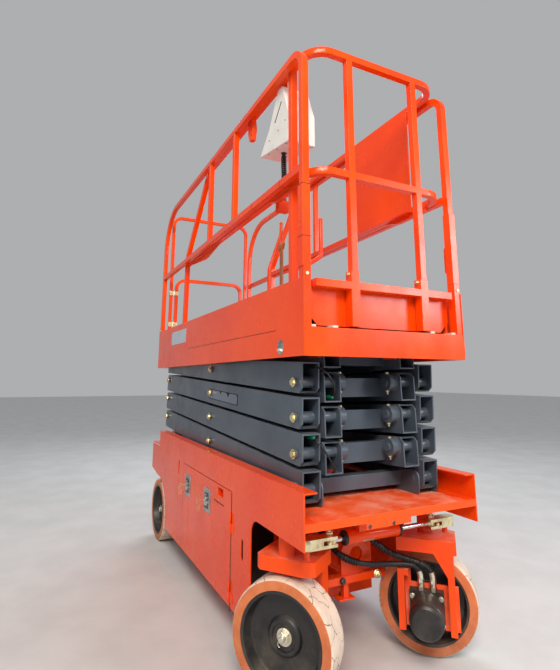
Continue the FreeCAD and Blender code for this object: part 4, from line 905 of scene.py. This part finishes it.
WASHER = ((0, 0), (0.0185, 0), (0.0192, 0.0008), (0.0192, 0.0024), (0, 0.0024))
PIN_BOLT = ((0, 0.0024), (0.0130, 0.0024), (0.0130, 0.0094), (0.0112, 0.0108), (0, 0.0108))


def outer_pin_bolts(level):
    """The bolt and washer that hold each pin at the outer arms' outer faces."""
    bolts = Shape()
    places = [(CENTRE_X, BASE_PIN + (level - 0.5) * STEP)]
    if level > 1:
        places.append((FRONT_PIN, BASE_PIN + (level - 1) * STEP))
    if level < LEVELS:
        places.append((REAR_PIN, BASE_PIN + level * STEP))
    for sign in SIDES.values():
        for x, z in places:
            for profile, sides in ((WASHER, 28), (PIN_BOLT, HEXAGON)):
                bolts.turned(profile, (x, PIN_HEAD * sign, z), (0, sign, 0), sides)
    bolts.done(f"pin_bolts_outer_{level}", f"outer_arms_{level}", ZINC)


BOSS_Y, BOSS_RADIUS = 0.125, 0.0355
# the cross tubes' places from the arms' end pins, and half their section
FRONT_TUBE, REAR_TUBE = 0.095, 0.130
TUBE_HALF_WIDTH, TUBE_HALF_HEIGHT = 0.0305, 0.0405


def boss_bolts(level):
    """The bolts through the bosses at the inner arms' front ends."""
    bolts = Shape()
    boss = BASE_PIN + level * STEP
    for sign in SIDES.values():
        bolt(bolts, (FRONT_PIN, BOSS_Y * sign, boss + BOSS_RADIUS), (0, 0, 1), 0.0085)
        bolt(bolts, (FRONT_PIN, BOSS_Y * sign, boss - BOSS_RADIUS), (0, 0, -1), 0.0090, stud=0.009)
    bolts.done(f"boss_bolts_{level}", f"inner_arms_{level}", ZINC)


def arm_welds(level):
    """The welds of the inner arms' bosses and cross tubes."""
    seams = Shape()
    boss = BASE_PIN + level * STEP
    for sign in SIDES.values():
        weld(seams, ring((FRONT_PIN, (INNER_FACE - 0.0006) * sign, boss), 0.0366, (0, 1, 0)))
        for x in (END_PIN - FRONT_TUBE, REAR_TUBE - END_PIN):
            corners = [(x + a * TUBE_HALF_WIDTH, (INNER_FACE - 0.0004) * sign, b * TUBE_HALF_HEIGHT)
                       for a, b in ((1, 1), (-1, 1), (-1, -1), (1, -1))]
            weld(seams, [inner_arm_spot(level, *corner) for corner in corners])
    seams.done(f"arm_welds_{level}", f"inner_arms_{level}", SLATE)


def arm_plate():
    """Blank strip on the outer face of the third outer arm, with a dark rim round it that is its painted
    shadow.
    """
    strip, edge = Shape(), Shape()
    middle = Vector((0.165, -OUTER_FACE, 1.028))
    slope = Vector((math.cos(TILT), 0, -math.sin(TILT)))
    upward = Vector((math.sin(TILT), 0, math.cos(TILT)))
    outline = [(-0.226, -0.024), (0.222, -0.024), (0.228, 0.010), (0.212, 0.024), (0.120, 0.024),
               (0.096, 0.002), (0.066, 0.024), (-0.006, 0.024), (-0.024, 0.006), (-0.042, 0.024),
               (-0.226, 0.024)]
    strip.slab(outline, middle, slope, upward, 0.0016)
    strip.done("arm_strip", "outer_arms_3", SLATE_STRIP, bevel=0.0004)
    edge.slab(rounded_plate(0.468, 0.056, 0.006), middle, slope, upward, 0.0006)
    edge.done("arm_strip_shadow", "outer_arms_3", DARK_GAP_AND_SHADOW)


FOOT_PLACES, FOOT_THICKNESS, FOOT_BOTTOM = (0.2355, 0.3385), 0.008, 0.6455
FOOT = ((-0.125, 0.0), (0.020, 0.0), (0.034, 0.006), (0.042, 0.020), (0.042, 0.070), (0.034, 0.088),
        (0.018, 0.096), (-0.125, 0.082))
FOOT_PIN_RADIUS, FOOT_PIN_START, FOOT_PIN_LENGTH = 0.0175, 0.2335, 0.119


def base_mounts():
    """Feet of the lowest outer arms: rounded lugs, their pins and the cross tube between them."""
    feet = Shape()
    tie_low, tie_high, tie_rear, tie_front, tie_end = 0.668, 0.726, 0.885, 0.940, 0.236
    feet.block((tie_rear, -tie_end, tie_low), (tie_front, tie_end, tie_high))
    for sign in SIDES.values():
        for y in FOOT_PLACES:
            left_face = y * sign + (FOOT_THICKNESS if sign > 0 else 0)
            feet.slab(FOOT, (FRONT_PIN, left_face, FOOT_BOTTOM), (1, 0, 0), (0, 0, 1), FOOT_THICKNESS)
        profile = [(0, 0), (FOOT_PIN_RADIUS, 0), (FOOT_PIN_RADIUS, FOOT_PIN_LENGTH), (0, FOOT_PIN_LENGTH)]
        feet.turned(profile, (FRONT_PIN, FOOT_PIN_START * sign, BASE_PIN), (0, sign, 0))
    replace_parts(feet.done("arm_feet", "chassis", SLATE, bevel=0.0015), "arm_base_mounts")


for level in range(1, LEVELS + 1):
    outer_pin_bolts(level)
    if level < LEVELS:
        boss_bolts(level)
    arm_welds(level)
arm_plate()
base_mounts()


# Chassis sides

DOOR_FACE = 0.405


def outward(sign):
    """Right and up as seen on a side face, so that plates thicken outwards."""
    return (-sign, 0, 0), (0, 0, 1)


# x and z of each door's two latches, and the low and high corners of its pull
LATCHES = ((-0.190, 0.506), (0.175, 0.503))
PULL_LOW, PULL_HIGH, PULL_DEPTH, PULL_WALL = (0.329, 0.557), (0.421, 0.606), 0.024, 0.0015
# place from the latch's middle, width and height of each raised bar of its frame
FRAME_BARS = ((0, 0.042, 0.086, 0.007), (0, -0.042, 0.086, 0.007), (0.0395, 0, 0.007, 0.078),
              (-0.0395, 0, 0.007, 0.078))
FRAME_PROUD = 0.0022
RIVET_X, RIVET_Z, KEY_Z, KEY_HEAD = 0.047, 0.050, 0.008, 0.046
RIVET = ((0, 0), (0.0042, 0), (0.0034, 0.0018), (0, 0.0022))
LOCK = ((0, 0), (0.014, 0), (0.014, 0.012), (0.011, 0.015), (0, 0.015))


def door_latches(side):
    """Two paddle latches with the wells round their paddles and the keys in their locks."""
    sign = SIDES[side]
    right, up = outward(sign)
    out, body = (0, sign, 0), f"{side}_tray_door"
    plates, wells, keys = Shape(), Shape(), Shape()
    for x, z in LATCHES:
        def at(dx, dz, proud=0.0):
            return (x + dx, (DOOR_FACE + proud) * sign, z + dz)

        plates.slab(rounded_plate(0.108, 0.116, 0.010), at(0, 0), right, up, FRAME_PROUD)
        for dx, dz, wide, tall in FRAME_BARS:
            plates.slab(rounded_plate(wide, tall, 0.003, 3), at(dx, dz, FRAME_PROUD), right, up, 0.0030)
        wells.slab(rounded_plate(0.073, 0.078, 0.003, 3), at(0, 0, 0.0020), right, up, 0.0006)
        plates.slab(rounded_plate(0.056, 0.026, 0.011), at(0, -0.010, 0.0026), right, up, 0.0090)
        plates.slab(rounded_plate(0.014, 0.060, 0.006), at(0.012 * sign, 0, 0.0026), right, up, 0.0060)
        plates.turned(LOCK, at(0, KEY_Z, FRAME_PROUD), out, 24)
        for dx, dz in ((-RIVET_X, RIVET_Z), (RIVET_X, RIVET_Z), (-RIVET_X, -RIVET_Z), (RIVET_X, -RIVET_Z)):
            plates.turned(RIVET, at(dx, dz, FRAME_PROUD), out, 14)
        blade = [(-0.0012, -0.004), (0.0012, -0.004), (0.0012, 0.004), (-0.0012, 0.004)]
        keys.slab(blade, at(0, KEY_Z, 0.016), right, up, 0.022)
        bow = circle(Vector(), Vector((1, 0, 0)), Vector((0, 1, 0)), 0.0115, 16)
        keys.slab([(spot.x, spot.y) for spot in bow], at(0.001, KEY_Z, KEY_HEAD), out, (0, 0, 1), 0.0022)
        keys.tube(ring(at(0, -0.005, KEY_HEAD), 0.011, (1, 0, 0), 20), 0.0009, 6, closed=True)
        keys.slab(rounded_plate(0.020, 0.030, 0.005), at(0.001, -0.030, KEY_HEAD), out, (0, 0, 1), 0.0022)
    plates.done(f"door_latches_{side}", body, PLAIN_ZINC, bevel=0.0007)
    wells.done(f"latch_wells_{side}", body, DARK_ZINC)
    keys.done(f"door_keys_{side}", body, PALE_BRASS)


def door_openings(side):
    """The recessed pull, the slit below it and a dark strip along the door's front edge, painted shade over
    the gap and its edges.
    """
    sign = SIDES[side]
    right, up = outward(sign)
    pull = Shape()
    (x0, z0), (x1, z1) = PULL_LOW, PULL_HIGH
    floor = (DOOR_FACE - PULL_DEPTH) * sign
    middle = ((x0 + x1) / 2, floor, (z0 + z1) / 2)
    pull.slab(rounded_plate(x1 - x0, z1 - z0, 0.004), middle, right, up, PULL_WALL)
    y0, y1 = sorted((floor, (DOOR_FACE - 0.0040) * sign))
    for low, high in (((x0, z0), (x1, z0 + PULL_WALL)), ((x0, z1 - PULL_WALL), (x1, z1)),
                      ((x0, z0), (x0 + PULL_WALL, z1)), ((x1 - PULL_WALL, z0), (x1, z1))):
        pull.block((low[0], y0, low[1]), (high[0], y1, high[1]))
    pull.done(f"door_pull_{side}", f"{side}_tray_door", ORANGE)
    slit = Shape()
    middle = (0.353, (DOOR_FACE + 0.0002) * sign, 0.5300)
    slit.slab(rounded_plate(0.150, 0.0035, 0.0015, 3), middle, right, up, 0.0005)
    slit.done(f"door_slit_{side}", f"{side}_tray_door", DARK_GAP_AND_SHADOW)
    # a dark strip wider than the gap: painted shade of the door's edge gap
    edge = Shape()
    middle = (0.5275, (DOOR_FACE + 0.0001) * sign, 0.366)
    edge.slab(rounded_plate(0.0080, 0.490, 0.0015, 3), middle, right, up, 0.0003)
    edge.done(f"door_edge_gap_shade_{side}", "chassis", DARK_GAP_AND_SHADOW)


for side in SIDES:
    door_latches(side)
    door_openings(side)


# Platform

PLATFORM_FACE = 0.400
ACCESS_CAP = ((0, -0.0165), (0.0289, -0.0165), (0.0289, -0.0003), (0.0270, -0.0003), (0.0270, -0.0135),
              (0.0120, -0.0135), (0.0100, -0.0100), (0, -0.0100))


def platform_trim(side):
    """The seam of the side panel and the sunk cap over its opening."""
    sign = SIDES[side]
    right, up = outward(sign)
    seam = Shape()
    seam.slab(rounded_plate(1.30, 0.0022, 0.001, 3), (0.322, PLATFORM_FACE * sign, 1.3155), right, up, 0.0004)
    seam.done(f"platform_seam_{side}", "platform", DARK_GAP_AND_SHADOW)
    cap = Shape()
    cap.turned(ACCESS_CAP, (FRONT_PIN, PLATFORM_FACE * sign, 1.246), (0, sign, 0), 36)
    cap.done(f"access_cap_{side}", "platform", PLAIN_ZINC)


def blank_plate():
    """The riveted plate on the side that the photograph shows, left blank."""
    right, up = outward(-1)
    middle = (-0.580, -PLATFORM_FACE, 1.4080)
    thickness = 0.0016
    plate = Shape()
    plate.slab(rounded_plate(0.385, 0.092, 0.006), middle, right, up, thickness)
    plate.done("blank_plate_right", "platform", BLANK_PLATE, bevel=0.0004)
    rivets = Shape()
    head = [(0, 0), (0.0045, 0), (0.0040, 0.0016), (0.0022, 0.0026), (0, 0.0028)]
    for dx, dz in ((-0.180, 0.036), (0.180, 0.036), (-0.180, -0.036), (0.180, -0.036)):
        rivets.turned(head, (middle[0] + dx, middle[1] - thickness, middle[2] + dz), (0, -1, 0), 14)
    rivets.done("plate_rivets_right", "platform", PLAIN_ZINC)


RAIL_Y, CORNER_X, REAR_X, HOOP_Y, GATE_Y, GATE_PIN_Y = 0.381, 1.178, -1.162, 0.331, 0.287, 0.309
SOCKET_PIN, HINGE_BOLT = 0.0085, 0.0075


def band(shape, middle, size):
    """A thin band right round a square tube."""
    half = Vector(size) / 2
    shape.block(Vector(middle) - half, Vector(middle) + half)


def rail_joints():
    """Pins through the rails' sockets, and dark joints in the rails."""
    joints, pins = Shape(), Shape()
    for sign in SIDES.values():
        for x in (0.990, 0.688):
            band(joints, (x, RAIL_Y * sign, 1.944), (0.0022, 0.0306, 0.0306))
        bolt(pins, (CORNER_X + 0.0165, (RAIL_Y + 0.002) * sign, 1.511), (1, 0, 0), SOCKET_PIN)
        bolt(pins, (-1.181, (RAIL_Y + 0.0152) * sign, 1.505), (0, sign, 0), SOCKET_PIN)
    for z in (1.8675, 1.657):
        band(joints, (CORNER_X, -0.3825, z), (0.0386, 0.0356, 0.0026))
    joints.done("rail_joints", "platform", DARK_GAP_AND_SHADOW)
    pins.done("socket_pins", "platform", ZINC)
    guard_pins = Shape()
    guard_x, guard_z, half_socket = 1.182, 1.528, 0.0200
    for y in (-0.166, 0.188):
        bolt(guard_pins, (guard_x, y - half_socket, guard_z), (0, -1, 0), SOCKET_PIN, stud=0.003)
        bolt(guard_pins, (guard_x, y + half_socket, guard_z), (0, 1, 0), SOCKET_PIN)
    guard_pins.done("guard_socket_pins", "extension", ZINC)


def gate_hinges():
    """The clamps of the gate's hinges on the hoop, and their leaves with the hinge pins on the gate."""
    clamps, leaves = Shape(), Shape()
    pin = [(0, -0.023), (0.0094, -0.023), (0.0094, 0.023), (0, 0.023)]
    clamp_front, leaf_front = 0.0155, 0.0150
    for z in (1.562, 1.822):
        clamps.block((REAR_X - clamp_front, -HOOP_Y - 0.0145, z - 0.018),
                     (REAR_X + clamp_front, -HOOP_Y + 0.0145, z + 0.018))
        leaves.block((REAR_X - leaf_front, -GATE_Y - 0.0140, z - 0.016),
                     (REAR_X + leaf_front, -GATE_Y + 0.0145, z + 0.016))
        leaves.turned(pin, (REAR_X + 0.009, -GATE_PIN_Y, z), (0, 0, 1), 24)
        bolt(clamps, (REAR_X + clamp_front, -HOOP_Y, z), (1, 0, 0), HINGE_BOLT)
        bolt(leaves, (REAR_X + leaf_front, -GATE_Y, z), (1, 0, 0), HINGE_BOLT)
    clamps.done("gate_hinge_clamps", "platform", ZINC, bevel=0.001)
    leaves.done("gate_hinge_leaves", "gate", ZINC, bevel=0.001)


LEVER_X, LEVER_Y, LEVER_THICKNESS = 0.500, -0.138, 0.0100
LEVER = ((-0.0132, 0), (0.0132, 0), (0.0128, 0.449), (-0.0128, 0.449))
KNOB = ((0, -0.0125), (0.0150, -0.0125), (0.0195, -0.0085), (0.0200, 0.0), (0.0180, 0.0095),
        (0.0110, 0.0140), (0, 0.0145))
WING = ((0.010, -0.009), (0.031, -0.010), (0.036, -0.003), (0.034, 0.008), (0.012, 0.009))
WING_TURN, WING_THICKNESS = 0.35, 0.010


def lock_lever():
    """Flat lever of the roll-out deck's lock with its wing knob."""
    lever = Shape()
    foot = (LEVER_X, LEVER_Y + LEVER_THICKNESS / 2, 1.367)
    lever.slab(LEVER, foot, (1, 0, 0), (0, 0, 1), LEVER_THICKNESS)
    lever.done("lock_lever", "extension", GOLD_PAINT, bevel=0.0012)
    knob = Shape()
    middle = Vector((LEVER_X, LEVER_Y, 1.824))
    knob.turned(KNOB, middle, (0, -1, 0), 28)
    back = middle + Vector((0, WING_THICKNESS / 2, 0))
    for turn in (WING_TURN, WING_TURN + math.pi):
        out = Vector((math.cos(turn), 0, math.sin(turn)))
        up = Vector((-math.sin(turn), 0, math.cos(turn)))
        knob.slab(WING, back, out, up, WING_THICKNESS)
    knob.done("wing_knob", "extension", GOLD_PAINT, bevel=0.0015)


for side in SIDES:
    platform_trim(side)
blank_plate()
rail_joints()
gate_hinges()
lock_lever()


# Control box

BOX_OUT, BOX_IN = -0.358, -0.222
BOX_SCREW = ((0, 0), (0.0038, 0), (0.0032, 0.0014), (0, 0.0020))


def box_trim():
    """Screws along the box's lower edges, and the vent slit."""
    screws = Shape()
    down = Vector((-0.1644, 0, -0.9864))
    edge_x, edge_z, edge_fall = 0.7, 2.1998, 0.05 / 0.3
    for x in (0.778, 0.868, 0.958):
        screws.turned(BOX_SCREW, (x, -0.346, edge_z - edge_fall * (x - edge_x)), down, 14)
    for x, z in ((0.806, 2.240), (0.902, 2.246), (0.972, 2.262)):
        screws.turned(BOX_SCREW, (x, BOX_OUT, z), (0, -1, 0), 14)
    screws.done("box_screws", "extension", DARK_ZINC)
    slit = Shape()
    along = Vector((0.067, 0, 0.073)).normalized()
    up = Vector((-along.z, 0, along.x))
    slit.slab(rounded_plate(0.100, 0.0075, 0.003, 4), (0.9005, BOX_OUT, 2.3385), along, up, 0.0007)
    slit.done("box_slit", "extension", DARK_GAP_AND_SHADOW)


PANEL_THICKNESS = 0.0020
# from the gaiter's foot up its folds to the top of the grip
STICK = ((0, 0), (0.024, 0), (0.024, 0.004), (0.018, 0.008), (0.020, 0.012), (0.014, 0.016), (0.016, 0.020),
         (0.010, 0.024), (0.0095, 0.060), (0.0135, 0.070), (0.0135, 0.084), (0.009, 0.090), (0, 0.091))
STOP = ((0, 0), (0.010, 0), (0.010, 0.010), (0.018, 0.012), (0.019, 0.018), (0.014, 0.023), (0, 0.0245))


def operator_panel():
    """The panel on the operator's side, with its drive stick and stop button."""
    slope = Vector((0.106, 0, 0.102)).normalized()
    out = Vector((-slope.z, 0, slope.x))
    middle = Vector((0.753, (BOX_OUT + BOX_IN) / 2, 2.251))
    panel, stick, stop = Shape(), Shape(), Shape()
    panel.slab(rounded_plate(0.112, 0.132, 0.008), middle, (0, 1, 0), -slope, PANEL_THICKNESS)
    panel.done("control_panel", "extension", NYLON, bevel=0.0005)
    base = middle + out * PANEL_THICKNESS
    stick.turned(STICK, base - slope * 0.012 + Vector((0, 0.022, 0)), out, 28)
    stick.done("drive_stick", "extension", NYLON)
    stop.turned(STOP, base + slope * 0.040 - Vector((0, 0.030, 0)), out, 28)
    stop.done("stop_button", "extension", STOP_RED)


box_trim()
operator_panel()


# Floor, air and lamps

FLOOR_HALF = 30
WARM, COOL = (1.0, 0.90, 0.78), (0.92, 0.96, 1.0)
# name, place, what it is aimed at, size, power and tint of each lamp
LAMPS = (
    ("key", (5.0, -2.5, 4.8), (0, 0, 1.2), 2.4, 360, WARM),
    ("fill", (4.6, 3.6, 2.8), (0, 0, 1.2), 1.6, 110, COOL),
    ("back", (-4.0, 2.0, 4.6), (0, 0, 1.4), 3.0, 120, COOL),
)


def studio_floor():
    """A wide, plain, pale floor."""
    made, tree, shader = new_material("studio_floor", Roughness=0.7)
    speckle = ramp(tree, noise(tree, 3.0, 8.0, 0.6), 0.3, 0.7)
    pale = blend_colour(tree, speckle, rgb(214, 215, 216), rgb(204, 205, 206))
    tree.links.new(pale, shader.inputs["Base Color"])
    mesh = bpy.data.meshes.new("studio_floor")
    corners = [(FLOOR_HALF * x, FLOOR_HALF * y, 0) for x, y in ((-1, -1), (1, -1), (1, 1), (-1, 1))]
    mesh.from_pydata(corners, [], [(0, 1, 2, 3)])
    mesh.materials.append(made)
    floor = bpy.data.objects.new("studio_floor", mesh)
    scene.collection.objects.link(floor)


def studio_light():
    """Soft, pale light from all round, and three large lamps."""
    world = bpy.data.worlds.new("studio_air")
    scene.world = world
    world.use_nodes = True
    air = world.node_tree.nodes["Background"]
    air.inputs["Color"].default_value = rgb(236, 238, 240)
    air.inputs["Strength"].default_value = 0.5
    for name, spot, aim, size, power, tint in LAMPS:
        data = bpy.data.lights.new(name, "AREA")
        data.energy, data.size, data.color = power, size, tint
        lamp = bpy.data.objects.new(name, data)
        lamp.location = spot
        lamp.rotation_mode = "QUATERNION"
        lamp.rotation_quaternion = (Vector(aim) - Vector(spot)).to_track_quat("-Z", "Y")
        scene.collection.objects.link(lamp)


studio_floor()
studio_light()
scene.view_settings.view_transform = "Standard"
